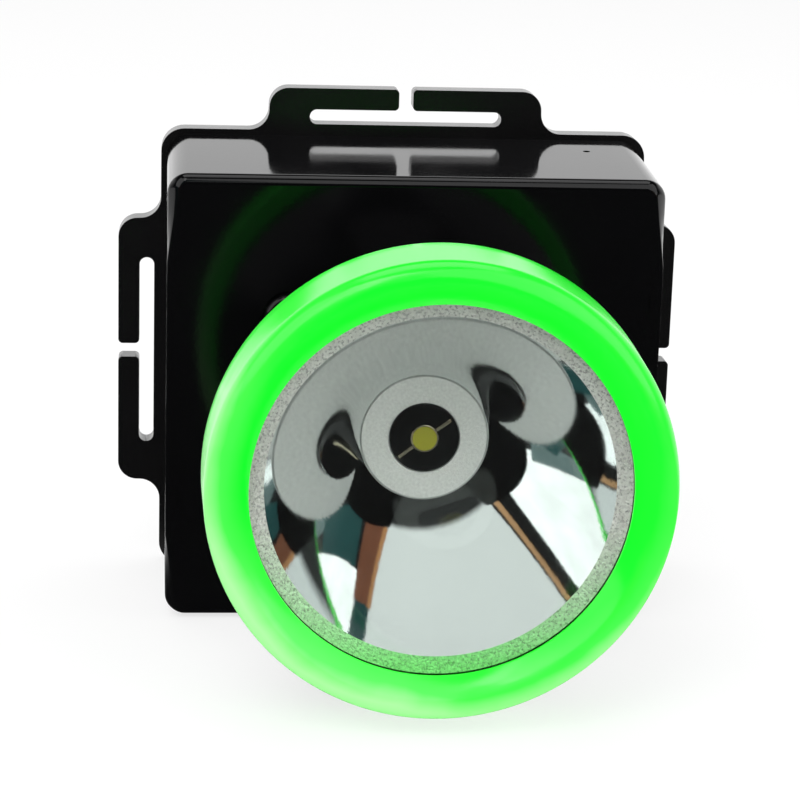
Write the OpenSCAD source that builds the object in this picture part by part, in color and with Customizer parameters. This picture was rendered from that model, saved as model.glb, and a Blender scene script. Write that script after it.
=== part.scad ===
// Battery headlamp for a cap or head strap: a box with strap lugs behind, and a tilting,
// focusing lamp head in front. The origin is the centre of the rear pad's resting face,
// X is to the right, the beam points along -Y, and Z is up.

/* [Back cover] */
// Width of the back flange
flange_w = 76; // [68:0.5:92]
// Height of the back flange
flange_h = 71; // [64:0.5:86]
// Thickness of the back flange
flange_t = 3.8; // [3:0.1:5]
// Corner radius of the back flange
flange_r = 3.6; // [3:0.1:8]
// Step from the flange's edge in to the box walls
flange_lip = 0.85; // [0.3:0.05:1.5]
// Height of the locating wall inside the box
spigot_h = 2.2; // [1.5:0.1:4]
// Thickness of the locating wall
spigot_wall = 1.4; // [1:0.1:2]
// Thickness of the seal between the flange and the box
cover_seal_t = 0.5; // [0.3:0.1:1]

/* [Strap lugs] */
// Length of each strap slot, a little over the webbing's width
slot_len = 30; // [20:0.5:36]
// Width of each strap slot
slot_w = 2.3; // [1.8:0.1:4]
// Land between the flange's edge and the slot
slot_land = 1; // [0.6:0.1:3]
// Width of the outer bar
bar_w = 3.3; // [2.4:0.1:5]
// Gap that splits the outer bar
bar_gap = 2.2; // [1.4:0.1:4]
// Length of solid lug past each end of the slot
lug_end = 6.3; // [4:0.1:9]
// Radius of the lug's outer corners
lug_r = 3; // [1:0.1:4]
// Radius of the fillet at the lug's root
lug_root_r = 3.2; // [1:0.1:4]
// How much further in the right lug sits than the left one
right_lug_in = 0.9; // [0:0.1:0.9]

/* [Box] */
// Depth of the box in front of the flange
box_d = 26.9; // [24:0.1:40]
// Thickness of the side walls
wall = 1.8; // [1.4:0.1:2.6]
// Thickness of the front wall
front_wall = 2; // [1.6:0.1:3]
// Corner radius of the box at the flange
box_r_rear = 3.5; // [2.5:0.1:7]
// Corner radius of the box near its front
box_r_front = 3; // [2:0.1:6]
// How far each side wall leans in by the front
draft_side = 0.25; // [0:0.05:1]
// How far the top and bottom walls lean in by the front
draft_top = 0.65; // [0:0.05:1.5]
// How far the front outline sits below the flange's centre
front_drop = 1; // [0:0.1:1.5]
// Depth of the rolled edge round the front face
edge_d = 1.6; // [1:0.1:4]
// Inset of the front face at its corners
face_corner_inset = 1.8; // [1:0.1:4]
// Length over which each side crease runs out from a corner to the full width
crease_run = 12; // [6:0.5:24]
// Inset of the front face at top and bottom
face_top_inset = 1.5; // [0.3:0.1:2]

/* [Cover screws] */
// Radius of the screw shanks
screw_r = 1.3; // [1:0.1:1.8]
// Length of the screws under the head
screw_len = 14; // [8:0.5:20]
// Radius of the screw heads
screw_head_r = 2.6; // [2:0.1:3.2]
// Height of the screw heads
screw_head_h = 1.6; // [1:0.1:2.2]
// Radius of the screw bosses
boss_r = 3.1; // [2.6:0.1:4]

/* [Pad] */
// Width of the forehead pad
pad_w = 52; // [40:1:60]
// Height of the forehead pad
pad_h = 60; // [40:1:64]
// Thickness of the forehead pad
pad_t = 3; // [2:0.5:6]
// Corner radius of the forehead pad
pad_r = 7; // [3:0.5:12]

/* [Battery] */
// Width of the battery block
battery_w = 50; // [30:1:54]
// Height of the battery block
battery_h = 44; // [30:1:48]
// Thickness of the battery block
battery_t = 15.5; // [10:0.5:15.5]
// Width of each battery tab
tab_w = 4.8; // [3:0.1:6.3]
// Height of each battery tab
tab_h = 5; // [3:0.5:7]

/* [Circuit] */
// Width of the circuit board
board_w = 62; // [56:1:64]
// Height of the circuit board
board_h = 21.5; // [18:0.5:23]
// Thickness of the circuit board
board_t = 1.6; // [0.8:0.1:2]
// Space between the circuit board and the front wall
board_gap = 4.6; // [4:0.1:6]
// Radius of the insulated leads
lead_r = 0.8; // [0.5:0.05:1.2]

/* [Button] */
// Radius of the push button
button_r = 4; // [3:0.1:5]
// How far the button stands proud of the front face
button_proud = 2.2; // [1.4:0.1:3]
// Travel of the button
button_travel = 0.9; // [0.5:0.1:1.2]
// Button's place left of the centre
button_x = -18.7; // [-26:0.1:-12]
// Button's place above the flange's centre
button_z = 11.6; // [8:0.1:20]

/* [Charging] */
// Radius of the charging socket's bore
socket_bore_r = 2.8; // [2.4:0.05:3.2]
// Depth of the charging socket's bore
socket_bore_d = 8; // [6:0.5:8.5]
// Outer radius of the charging socket
socket_r = 4; // [3.6:0.1:5]
// Radius of the pin in the socket
socket_pin_r = 1; // [0.6:0.05:1.25]
// Socket's place below the flange's centre
socket_z = -18; // [-24:0.5:-8]
// Radius of the charge lamp's pinhole
pinhole_r = 0.55; // [0.4:0.05:1]
// Pinhole's place right of the centre
pinhole_x = 27.5; // [18:0.5:29]
// Pinhole's place in front of the flange
pinhole_y = 7.8; // [6:0.1:14]
// Radius of the charge lamp
indicator_r = 1.5; // [1:0.1:2.5]

/* [Hinge] */
// Distance of the hinge axis in front of the box
hinge_out = 6.7; // [6.2:0.1:10]
// Head axis below the flange's centre
head_drop = 1.2; // [0:0.1:4]
// Outer radius of the hinge knuckle and ears
knuckle_r = 5; // [4.4:0.1:5.4]
// Width of the knuckle
knuckle_w = 12; // [10:0.5:16]
// Thickness of each hinge ear
ear_t = 3; // [2:0.1:4]
// Thickness of each friction washer
friction_t = 0.5; // [0.3:0.05:1]
// Radius of the hinge pins
pin_r = 1.5; // [1.2:0.1:2]
// Radial clearance of the pins in the knuckle
pin_clearance = 0.06; // [0.01:0.01:0.1]
// Thickness of the yoke's base
yoke_base_t = 2.2; // [1.6:0.1:3]

/* [Lamp cup] */
// Distance of the light source's plane in front of the box
source_out = 18.7; // [17:0.1:24]
// Radius of the cup's flat back
cup_back_r = 12.5; // [10:0.5:13]
// Outer radius of the cup's threaded front
cup_r = 28.9; // [26:0.1:32]
// Wall of the cup
cup_wall = 1.8; // [1.4:0.1:2.4]
// Distance from the hinge axis to the cup's back
cup_back_out = 5.8; // [5.6:0.1:8]
// Length of the rounded back part of the cup
cup_curve_len = 19; // [14:0.5:24]

/* [Bezel] */
// Outer radius of the green ring at its back
bezel_r = 32; // [30:0.1:36]
// Outer radius of the green ring near its front
bezel_front_r = 31.8; // [29.6:0.1:36]
// Depth of the green ring from back to crown
bezel_d = 12.9; // [11:0.1:16]
// Distance from the light source's plane to the crown
crown_out = 30.4; // [30.2:0.1:34]
// Radius of the crown line
crown_r = 29; // [28.2:0.1:30]
// Inner radius of the green lip
lip_r = 25.8; // [24.5:0.1:26]
// Depth of the lip's inner edge behind the crown
lip_back = 2.4; // [1.6:0.1:3]
// Thickness of the lip's inner edge
lip_edge = 0.5; // [0.3:0.1:1]
// Radial running clearance of the screw thread
thread_clearance = 0.1; // [0.05:0.01:0.1]
// Travel of the ring, lens and reflector when unscrewed for focusing
focus_travel = 3; // [1:0.5:3]

/* [Optics] */
// Thickness of the clear lens
lens_t = 1.1; // [0.8:0.1:2]
// Radius of the clear lens
lens_r = 27.6; // [27:0.1:28.2]
// Radius of the reflector at its window edge
window_r = 23.7; // [20:0.1:24.5]
// Radius of the hole in the reflector's back
throat_r = 9.3; // [9:0.1:11]
// Thickness of the reflector's shell
mirror_t = 1.2; // [0.8:0.1:2]
// Depth of the pebbled rim's slope
rim_slope = 1; // [0.4:0.1:2]

/* [Light source] */
// Outer radius of the flat silver ring
washer_r = 9.05; // [8:0.05:9.2]
// Inner radius of the flat silver ring
washer_hole_r = 5.1; // [3:0.1:6]
// Thickness of the flat silver ring
washer_t = 0.5; // [0.3:0.1:1]
// Thickness of the dark board that carries the light source
led_board_t = 1; // [0.6:0.1:1.6]
// Height of the dark body that stands in the washer
led_body_h = 0.9; // [0.5:0.1:1.4]
// Radius of the pale emitter
emitter_r = 1.75; // [1:0.05:3]
// Length of each metal contact
contact_len = 2.5; // [1.5:0.1:3]
// Width of each metal contact
contact_w = 0.5; // [0.3:0.05:1]
// Slant of the contacts, in degrees
contact_slant = 37; // [0:1:90]

/* [Hidden] */
$fn = 64;

// general fits: a close slip fit, a free gap, a hairline, and how far merged shapes sink in
fit = 0.1;
gap = 0.3;
skin = 0.02;
sink = 0.5;

// planes along the depth, as distances in front of the pad's resting face
flange_back = pad_t;
flange_front = flange_back + flange_t;
shell_back = flange_front + cover_seal_t;
face = flange_front + box_d;
inner_face = face - front_wall;
board_front = inner_face - board_gap;
board_back = board_front - board_t;
hinge = face + hinge_out;
source = face + source_out;
cup_back = hinge + cup_back_out;
cup_floor = cup_back + cup_wall;
cup_shoulder = cup_back + cup_curve_len;
crown = source + crown_out;
bezel_back = crown - bezel_d;
lip_front = crown - lip_back;
pocket_front = lip_front - lip_edge;
lens_front = pocket_front - skin;
lens_back = lens_front - lens_t;
lens_seal_t = 0.6;
rim_t = 1.3;
rim_step = lens_back - lens_seal_t;
rim_back = rim_step - rim_t;
rim_edge = lens_back - rim_slope;
ring_t = 1;
ring_front = rim_back - fit;
ring_back = ring_front - ring_t;
cup_front = ring_back - gap;

// the box where it meets the flange, and near its front
box_hw = flange_w / 2 - flange_lip;
box_hh = flange_h / 2 - flange_lip;
front_hw = box_hw - draft_side;
front_hh = box_hh - draft_top;
lean = (draft_top + front_drop) / (box_d - edge_d);
spigot_fit = fit + lean * (spigot_h - cover_seal_t);

// cover screws, whose bosses stand against the front end of the walls
boss_x = front_hw - wall - boss_r + gap;
boss_z = front_hh - front_drop - wall - boss_r + gap;
boss_start = flange_front + spigot_h + gap;
screw_seat = flange_back + fit;
cross_w = 0.6;
cross_d = 0.9;

// battery, standing on the bottom wall beside the left bosses
battery_back = boss_start;
battery_x = battery_w / 2 - (boss_x - boss_r - 1);
battery_base = wall + fit - min(box_hh, front_hh + front_drop);
battery_top = battery_base + battery_h;
battery_mid = battery_back + battery_t / 2;
tab_pitch = battery_w * 0.55;
tab_t = 0.8;
cover_rib_w = 1.6;
cover_rib_h = battery_h * 0.7;
battery_corner_r = 1.5;

// circuit board, between the upper and lower bosses
board_top = boss_z - boss_r - 0.4;
board_mid = board_top - board_h / 2;
board_post_r = 2.2;
board_post_x = 22;
board_post_z = board_top - 4;
board_screw_r = 0.9;
board_screw_len = 4.5;
board_screw_head_r = 1.7;
board_screw_head_t = 1;
lead_rise = 2.5;

// parts on the circuit board, from its middle: the choke and the capacitor as
// [x, z, radius, height], and the chip, the diode and two resistors as [x, z, width, height, thickness]
round_parts = [[7, 4, 3.2, 3], [15, 2, 2, 3.8]];
flat_parts = [[-6, 3, 5, 4, 1.6], [10, -6, 4.4, 2.6, 2.2],
              [-9, -5, 3.2, 1.6, 0.7], [-4, -5, 3.2, 1.6, 0.7]];

// switch under the button
button_flange = 0.9;
button_flange_t = 0.8;
switch_w = 6.4;
switch_h = board_gap - button_flange_t - button_travel - gap;
stem_r = 1.5;
stem_in = 0.6;
button_round = 0.9;

// charge lamp under its pinhole
pinhole_plane = flange_front + pinhole_y;
indicator_top = box_hh - wall - lean * pinhole_y - 0.2;
indicator_h = 4;
indicator_foot = board_top - 2.5;
indicator_leg_x = 0.8;
indicator_leg_r = 0.3;
holder_wall = 1;

// charging socket in the right wall
socket_mouth = front_hw - fit;
socket_floor = socket_mouth - socket_bore_d;
socket_back = socket_floor - 1;
socket_pin_in = 1;
socket_plane = flange_front + box_d / 2;
socket_lead_x = [25.4, 23.4];
socket_lead_z = 1.6;
socket_lead_up = 1.8;

// hinge between the box and the head
head_z = -head_drop;
ear_x = knuckle_w / 2 + friction_t;
ear_out = ear_x + ear_t;
pin_head_r = 2.4;
pin_head_t = 0.8;
pin_end = knuckle_w / 4;
washer_out = knuckle_r - 0.8;
yoke_screw_x = ear_out + 3.6;
yoke_screw_r = 1.2;
yoke_screw_head_r = 2.1;
yoke_screw_head_t = 1.4;
yoke_boss_r = 2.4;
yoke_boss_h = 2.6;
yoke_hw = yoke_screw_x + yoke_boss_r + 1;
yoke_hh = knuckle_r + 2.4;
yoke_window_hh = knuckle_r;
yoke_corner_r = 2;
yoke_bite = yoke_base_t + yoke_boss_h - 0.8;
lamp_lead_r = lead_r * 1.5;
lamp_lead_drop = 8;
lamp_lead_out = 0.9;
channel_r = 2.2;
web_hh = 4;

// lamp head
cup_bulge = 1.8;
bezel_bore = cup_r + thread_clearance;
groove_d = 1.1;
groove_w = 1.4;
groove_plane = bezel_back + focus_travel + groove_w;
cup_ring_r = 0.5;
crown_run = 2.6;
lip_curve = 1.5;
curve_steps = 12;
sink_base_r = cup_back_r - cup_wall - 0.4;
sink_base_t = 2;
washer_back = source - washer_t;
led_board_back = washer_back - led_board_t;
post_r = throat_r - 0.4;
body_r = washer_hole_r - fit;
body_front = washer_back + led_body_h;
emitter_t = 0.15;
emitter_ring = 0.25;
contact_start = emitter_r + emitter_ring + 0.1;

// reflector: a parabola whose focus lies at the light source
four_focal = (pow(window_r, 2) - pow(throat_r, 2)) / (rim_edge - source);
vertex = source - pow(throat_r, 2) / four_focal;
neck_back = cup_floor + sink_base_t + 0.5;
seat_r = lip_r + 0.5;

// how far in front of the pad the parabola lies at a radius, and its radius at a plane
function bowl(r) = vertex + r * r / four_focal;
function bowl_r(plane) = sqrt(four_focal * (plane - vertex));

// the cup's outer radius at a share of the way from its back to its shoulder
function cup_radius(t) = cup_back_r + (cup_r - cup_back_r) * t + cup_bulge * sin(180 * t);

// turns a profile of (radius, distance in front of the pad) about the head's axis
module head_turn() {
    translate([0, 0, head_z]) rotate([90, 0, 0]) rotate_extrude($fn = 128) children();
}

// stands a child that rises along +Z on a plane in front of the pad, so that it points forward
module forward(x, distance, z) {
    translate([x, -distance, z]) rotate([90, 0, 0]) children();
}

// a flat outline in X and Z, thickened forward from one plane to another
module slab(from, to) {
    forward(0, from, 0) linear_extrude(to - from) children();
}

// a rectangle with true round corners, centred
module rounded(hw, hh, r) {
    square([2 * hw, 2 * (hh - r)], center = true);
    square([2 * (hw - r), 2 * hh], center = true);
    for (sx = [-1, 1], sy = [-1, 1])
        translate([sx * (hw - r), sy * (hh - r)]) circle(r);
}

// a straight round rod between two points
module rod(a, b, r) {
    d = b - a;
    translate(a) rotate([0, acos(d[2] / norm(d)), atan2(d[1], d[0])]) cylinder(r = r, h = norm(d));
}

// an insulated lead along a list of points
module lead(points, r) {
    for (i = [1:len(points) - 1]) rod(points[i - 1], points[i], r);
    for (i = [1:len(points) - 2]) translate(points[i]) sphere(r);
}

// a screw that points forward from its seat, with a cross in its head
module screw(r, length, head_r, head_t) {
    difference() {
        union() {
            cylinder(r = head_r, h = head_t);
            cylinder(r = r, h = length);
        }
        for (a = [0, 90]) rotate(a) translate([0, 0, cross_d / 2 - skin])
            cube([head_r * 1.2, cross_w, cross_d + 2 * skin], center = true);
    }
}

// the four cover screw places
module at_bosses() {
    for (sx = [-1, 1], sz = [-1, 1]) translate([sx * boss_x, 0, sz * boss_z]) children();
}

// the two posts that hold the circuit board
module at_board_posts() {
    for (s = [-1, 1]) translate([s * board_post_x, 0, board_post_z]) children();
}

// the two screws that hold the yoke
module at_yoke_screws() {
    for (s = [-1, 1]) translate([s * yoke_screw_x, 0, head_z]) children();
}

// one strap lug, standing on the line v = 0 and pointing along +v
module lug() {
    half = slot_len / 2 + lug_end;
    reach = slot_land + slot_w + bar_w;
    slot_mid = slot_land + slot_w / 2;
    difference() {
        union() {
            translate([-half, -sink]) square([2 * half, reach - lug_r + sink]);
            translate([-half + lug_r, 0]) square([2 * (half - lug_r), reach]);
            for (s = [-1, 1]) {
                translate([s * (half - lug_r), reach - lug_r]) circle(lug_r);
                translate([s * (half + lug_root_r / 2), (lug_root_r - sink) / 2])
                    square([lug_root_r, lug_root_r + sink], center = true);
            }
        }
        for (s = [-1, 1]) {
            translate([s * (half + lug_root_r), lug_root_r]) circle(lug_root_r);
            translate([s * (slot_len - slot_w) / 2, slot_mid]) circle(slot_w / 2);
        }
        translate([-(slot_len - slot_w) / 2, slot_land]) square([slot_len - slot_w, slot_w]);
        translate([-bar_gap / 2, slot_mid]) square([bar_gap, reach]);
    }
}

// outline of the front face: its left and right creases run out from each corner to the full width
module face_outline(inset) {
    mid_hw = front_hw - inset;
    corner_hw = mid_hw - face_corner_inset;
    hh = front_hh - face_top_inset - inset;
    kink = hh - crease_run;
    polygon([
        [-corner_hw, hh], [corner_hw, hh], [mid_hw, kink], [mid_hw, -kink],
        [corner_hw, -hh], [-corner_hw, -hh], [-mid_hw, -kink], [-mid_hw, kink]
    ]);
}

// the box as a solid, shrunk by inset, from one plane to its front
module box_solid(inset, from, front) {
    leaf = 0.2;
    hull() {
        slab(from, from + leaf) rounded(box_hw - inset, box_hh - inset, max(box_r_rear - inset, sink));
        translate([0, 0, -front_drop]) {
            slab(front - edge_d, front - edge_d + leaf)
                rounded(front_hw - inset, front_hh - inset, max(box_r_front - inset, sink));
            slab(front - leaf, front) face_outline(inset);
        }
    }
}

module front_shell() {
    hole_start = inner_face - sink;
    hole_h = front_wall + 2 * sink;
    color([0.03, 0.03, 0.035]) difference() {
        union() {
            difference() {
                box_solid(0, shell_back, face);
                box_solid(wall, shell_back - 1, inner_face);
            }
            at_bosses() forward(0, boss_start, 0)
                cylinder(r = boss_r, h = inner_face - boss_start + sink);
            at_board_posts() forward(0, board_front, 0)
                cylinder(r = board_post_r, h = inner_face - board_front + sink);
            // holder of the charge lamp, under the top wall
            translate([pinhole_x, -pinhole_plane, indicator_top - indicator_h / 2])
                cylinder(r = indicator_r + holder_wall, h = indicator_h / 2 + wall / 2);
            // pocket round the charging socket's barrel
            translate([socket_floor, -socket_plane, socket_z]) rotate([0, 90, 0])
                cylinder(r = socket_r + holder_wall, h = socket_bore_d - wall / 2);
        }
        at_bosses() forward(0, boss_start - sink, 0)
            cylinder(r = screw_r + skin, h = screw_seat + screw_len + 2 * sink - boss_start);
        at_board_posts() forward(0, board_front - sink, 0)
            cylinder(r = board_screw_r + skin, h = board_screw_len - board_t + 2 * sink);
        forward(button_x, hole_start, button_z) cylinder(r = button_r + fit, h = hole_h);
        at_yoke_screws() forward(0, hole_start, 0) cylinder(r = yoke_screw_r + fit, h = hole_h);
        forward(0, hole_start, head_z) cylinder(r = lamp_lead_r + skin, h = hole_h);
        translate([pinhole_x, -pinhole_plane, 0]) {
            cylinder(r = pinhole_r, h = flange_h);
            translate([0, 0, indicator_top - indicator_h])
                cylinder(r = indicator_r + skin, h = indicator_h + skin);
        }
        translate([socket_back - sink, -socket_plane, socket_z]) rotate([0, 90, 0])
            cylinder(r = socket_r + skin, h = flange_w);
    }
}

// outline of the cover's locating wall, shrunk by inset
module spigot_outline(inset) {
    rounded(box_hw - wall - spigot_fit - inset, box_hh - wall - spigot_fit - inset,
            max(box_r_rear - wall - inset, sink));
}

module back_cover() {
    color([0.04, 0.04, 0.045]) difference() {
        union() {
            slab(flange_back, flange_front) {
                rounded(flange_w / 2, flange_h / 2, flange_r);
                translate([0, flange_h / 2]) lug();
                translate([flange_w / 2 - right_lug_in, 0]) rotate(-90) lug();
                translate([-flange_w / 2, 0]) rotate(90) lug();
            }
            slab(flange_front - sink, flange_front + spigot_h) difference() {
                spigot_outline(0);
                spigot_outline(spigot_wall);
            }
            at_bosses() forward(0, flange_front - sink, 0)
                cylinder(r = boss_r - gap, h = boss_start - flange_front + sink - skin);
            // ribs that hold the battery against the board
            slab(flange_front - sink, battery_back - fit)
                for (s = [-1, 1]) translate([battery_x + s * tab_pitch / 2, battery_base + battery_h / 2])
                    square([cover_rib_w, cover_rib_h], center = true);
        }
        at_bosses() forward(0, flange_back - sink, 0) {
            cylinder(r = screw_r + skin, h = boss_start - flange_back + 2 * sink);
            cylinder(r = screw_head_r + fit, h = screw_seat + screw_head_h - flange_back + sink);
        }
    }
}

module cover_seal() {
    color([0.12, 0.12, 0.12]) slab(flange_front, shell_back) difference() {
        rounded(box_hw - fit, box_hh - fit, box_r_rear - fit);
        rounded(box_hw - wall, box_hh - wall, max(box_r_rear - wall, sink));
    }
}

module cover_screws() {
    color([0.75, 0.75, 0.78]) at_bosses() forward(0, screw_seat, 0)
        screw(screw_r, screw_len, screw_head_r, screw_head_h);
}

module forehead_pad() {
    color([0.2, 0.2, 0.2]) slab(0, flange_back) rounded(pad_w / 2, pad_h / 2, pad_r);
}

module battery() {
    color([0.85, 0.85, 0.8]) slab(battery_back, battery_back + battery_t)
        translate([battery_x, battery_base + battery_h / 2])
            rounded(battery_w / 2, battery_h / 2, battery_corner_r);
}

module battery_terminals() {
    color([0.8, 0.72, 0.45]) for (s = [-1, 1])
        translate([battery_x + s * tab_pitch / 2, -battery_mid, battery_top + tab_h / 2])
            cube([tab_w, tab_t, tab_h], center = true);
}

// a lead from a battery tab up and forward to the circuit board
module battery_lead(side) {
    x = battery_x + side * tab_pitch / 2;
    z = battery_top + tab_h;
    lead([[x, -battery_mid, z], [x, -battery_mid, z + lead_rise], [x, -board_back, z + lead_rise]], lead_r);
}

module positive_lead() {
    color([0.8, 0.1, 0.08]) battery_lead(1);
}

module negative_lead() {
    color([0.08, 0.08, 0.08]) battery_lead(-1);
}

module circuit_board() {
    color([0.1, 0.4, 0.2]) difference() {
        slab(board_back, board_front) translate([0, board_mid]) square([board_w, board_h], center = true);
        at_board_posts() forward(0, board_back - sink, 0)
            cylinder(r = board_screw_r + fit, h = board_t + 2 * sink);
    }
}

module driver_parts() {
    color([0.25, 0.25, 0.27]) {
        for (p = round_parts) forward(p[0], board_front, board_mid + p[1])
            cylinder(r = p[2], h = p[3]);
        for (p = flat_parts) forward(p[0], board_front, board_mid + p[1])
            linear_extrude(p[4]) square([p[2], p[3]], center = true);
    }
}

module board_screws() {
    color([0.75, 0.75, 0.78]) at_board_posts() forward(0, board_back - board_screw_head_t, 0)
        screw(board_screw_r, board_screw_len + board_screw_head_t, board_screw_head_r, board_screw_head_t);
}

module switch_body() {
    color([0.15, 0.15, 0.16]) difference() {
        slab(board_front, board_front + switch_h) translate([button_x, button_z])
            square(switch_w, center = true);
        forward(button_x, board_front + sink, button_z) cylinder(r = stem_r + gap, h = switch_h);
    }
}

module charge_indicator() {
    foot = indicator_top - indicator_h;
    color([0.9, 0.2, 0.15]) {
        translate([pinhole_x, -pinhole_plane, foot]) cylinder(r = indicator_r, h = indicator_h - indicator_r);
        translate([pinhole_x, -pinhole_plane, indicator_top - indicator_r]) sphere(indicator_r);
        for (x = [pinhole_x - indicator_leg_x, pinhole_x + indicator_leg_x]) lead([
            [x, -pinhole_plane, foot],
            [x, -pinhole_plane, indicator_foot],
            [x, -board_back, indicator_foot]
        ], indicator_leg_r);
    }
}

module charge_socket() {
    color([0.1, 0.1, 0.1]) translate([socket_back, -socket_plane, socket_z]) rotate([0, 90, 0])
        difference() {
            cylinder(r = socket_r, h = socket_mouth - socket_back);
            translate([0, 0, socket_floor - socket_back])
                cylinder(r = socket_bore_r, h = socket_bore_d + sink);
        }
}

module socket_pin() {
    color([0.8, 0.8, 0.82]) translate([socket_floor, -socket_plane, socket_z]) rotate([0, 90, 0])
        cylinder(r = socket_pin_r, h = socket_bore_d - socket_pin_in);
}

module socket_leads() {
    color([0.3, 0.1, 0.1]) for (i = [0, 1]) {
        x = socket_lead_x[i];
        z = socket_z + (i == 0 ? 1 : -1) * socket_lead_z;
        z_end = board_mid - board_h / 2 + socket_lead_up;
        lead([[socket_back, -socket_plane, z], [x, -socket_plane, z], [x, -socket_plane, z_end],
              [x, -board_back, z_end]], lead_r);
    }
}

module yoke() {
    color([0.035, 0.035, 0.04]) difference() {
        union() {
            slab(face, face + yoke_base_t) translate([0, head_z]) difference() {
                rounded(yoke_hw, yoke_hh, yoke_corner_r);
                square([2 * ear_x, 2 * yoke_window_hh], center = true);
            }
            at_yoke_screws() forward(0, face, 0) cylinder(r = yoke_boss_r, h = yoke_base_t + yoke_boss_h);
            for (s = [-1, 1]) translate([s * (ear_x + ear_t / 2), 0, head_z]) {
                translate([0, -hinge, 0]) rotate([0, 90, 0])
                    cylinder(r = knuckle_r, h = ear_t, center = true);
                translate([0, -(face + hinge) / 2, 0])
                    cube([ear_t, hinge_out, 2 * knuckle_r], center = true);
            }
        }
        at_yoke_screws() forward(0, face - sink, 0) cylinder(r = yoke_screw_r + skin, h = yoke_bite + sink);
        translate([0, -hinge, head_z]) rotate([0, 90, 0])
            cylinder(r = pin_r + skin / 2, h = 4 * ear_out, center = true);
    }
}

module yoke_screws() {
    color([0.75, 0.75, 0.78]) at_yoke_screws() forward(0, inner_face - yoke_screw_head_t, 0)
        screw(yoke_screw_r, yoke_screw_head_t + front_wall + yoke_bite - gap,
              yoke_screw_head_r, yoke_screw_head_t);
}

module pivot_pins() {
    color([0.75, 0.75, 0.78]) for (s = [-1, 1]) translate([0, -hinge, head_z]) rotate([0, s * 90, 0]) {
        translate([0, 0, pin_end]) cylinder(r = pin_r, h = ear_out - pin_end + skin);
        translate([0, 0, ear_out + skin]) cylinder(r = pin_head_r, h = pin_head_t);
    }
}

module friction_washers() {
    color([0.6, 0.5, 0.3]) for (s = [-1, 1]) translate([0, -hinge, head_z]) rotate([0, s * 90, 0])
        translate([0, 0, knuckle_w / 2 + skin]) difference() {
            cylinder(r = washer_out, h = friction_t - skin);
            translate([0, 0, -sink]) cylinder(r = pin_r + fit, h = friction_t + 2 * sink);
        }
}

module lamp_lead() {
    mid = (board_front + inner_face) / 2;
    foot = board_mid - lamp_lead_drop;
    color([0.08, 0.08, 0.08]) lead([[0, -board_front, foot], [0, -mid, foot], [0, -mid, head_z],
                                    [0, -face - lamp_lead_out, head_z]], lamp_lead_r);
}

module button_cap() {
    cap_top = face + button_proud;
    flange_plane = inner_face - skin;
    stem_end = board_front + switch_h - stem_in;
    round_x = button_r - button_round;
    round_plane = cap_top - button_round;
    color([0.02, 0.02, 0.02]) forward(button_x, 0, button_z) rotate_extrude() difference() {
        union() {
            translate([0, flange_plane - button_flange_t])
                square([button_r + button_flange, button_flange_t]);
            translate([0, flange_plane - sink]) square([button_r, round_plane - flange_plane + sink]);
            translate([0, round_plane - sink]) square([round_x, button_round + sink]);
            translate([round_x, round_plane]) circle(button_round);
            translate([0, stem_end]) square([stem_r, flange_plane - stem_end]);
        }
        translate([-button_r, 0]) square([button_r, 2 * face]);
    }
}

module lamp_cup() {
    color([0.04, 0.04, 0.045]) difference() {
        union() {
            head_turn() polygon(concat(
                [[0, cup_back]],
                [for (i = [0:curve_steps]) let (t = i / curve_steps)
                    [cup_radius(t), cup_back + t * cup_curve_len]],
                [[cup_r, cup_front], [cup_r - cup_wall, cup_front]],
                [for (i = [curve_steps:-1:1]) let (t = i / curve_steps)
                    [cup_radius(t) - cup_wall, cup_floor + t * (cup_shoulder - cup_floor)]],
                [[cup_back_r - cup_wall, cup_floor], [0, cup_floor]]
            ));
            translate([0, -hinge, head_z]) rotate([0, 90, 0])
                cylinder(r = knuckle_r, h = knuckle_w, center = true);
            translate([0, -(hinge + cup_back + sink) / 2, head_z])
                cube([knuckle_w, cup_back_out + sink, 2 * web_hh], center = true);
        }
        translate([0, -hinge, head_z]) rotate([0, 90, 0])
            cylinder(r = pin_r + pin_clearance, h = knuckle_w + 1, center = true);
        forward(0, hinge - knuckle_r - 1, head_z)
            cylinder(r = channel_r, h = cup_floor - hinge + knuckle_r + 2);
        head_turn() translate([cup_r - groove_d, groove_plane - groove_w / 2])
            square([groove_d + 1, groove_w]);
    }
}

module cup_seal() {
    color([0.1, 0.1, 0.1]) head_turn() translate([cup_r - groove_d + fit / 2 + cup_ring_r, groove_plane])
        circle(cup_ring_r, $fn = 32);
}

module heat_sink() {
    color([0.78, 0.79, 0.8]) difference() {
        union() {
            forward(0, cup_floor, head_z) cylinder(r = sink_base_r, h = sink_base_t);
            forward(0, cup_floor, head_z) cylinder(r = post_r, h = led_board_back - cup_floor);
        }
        forward(0, cup_floor - 1, head_z) cylinder(r = lamp_lead_r + skin, h = led_board_back);
    }
}

module head_lead() {
    color([0.08, 0.08, 0.08]) forward(0, hinge - knuckle_r + 1, head_z)
        cylinder(r = lamp_lead_r, h = led_board_back - hinge + knuckle_r - 1);
}

module led_board() {
    color([0.8, 0.82, 0.82]) forward(0, led_board_back, head_z) cylinder(r = post_r, h = led_board_t);
}

module led_body() {
    color([0.03, 0.03, 0.03]) forward(0, washer_back, head_z) cylinder(r = body_r, h = led_body_h);
}

module led_emitter() {
    color([0.8, 0.8, 0.3]) forward(0, body_front, head_z) cylinder(r = emitter_r, h = emitter_t);
}

module led_contacts() {
    color([0.8, 0.75, 0.6]) forward(0, body_front, head_z) {
        difference() {
            cylinder(r = emitter_r + emitter_ring, h = emitter_t);
            translate([0, 0, -sink]) cylinder(r = emitter_r, h = emitter_t + 2 * sink);
        }
        for (a = [0, 180]) rotate(contact_slant + a) translate([contact_start, -contact_w / 2, 0])
            cube([contact_len, contact_w, emitter_t]);
    }
}

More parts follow.
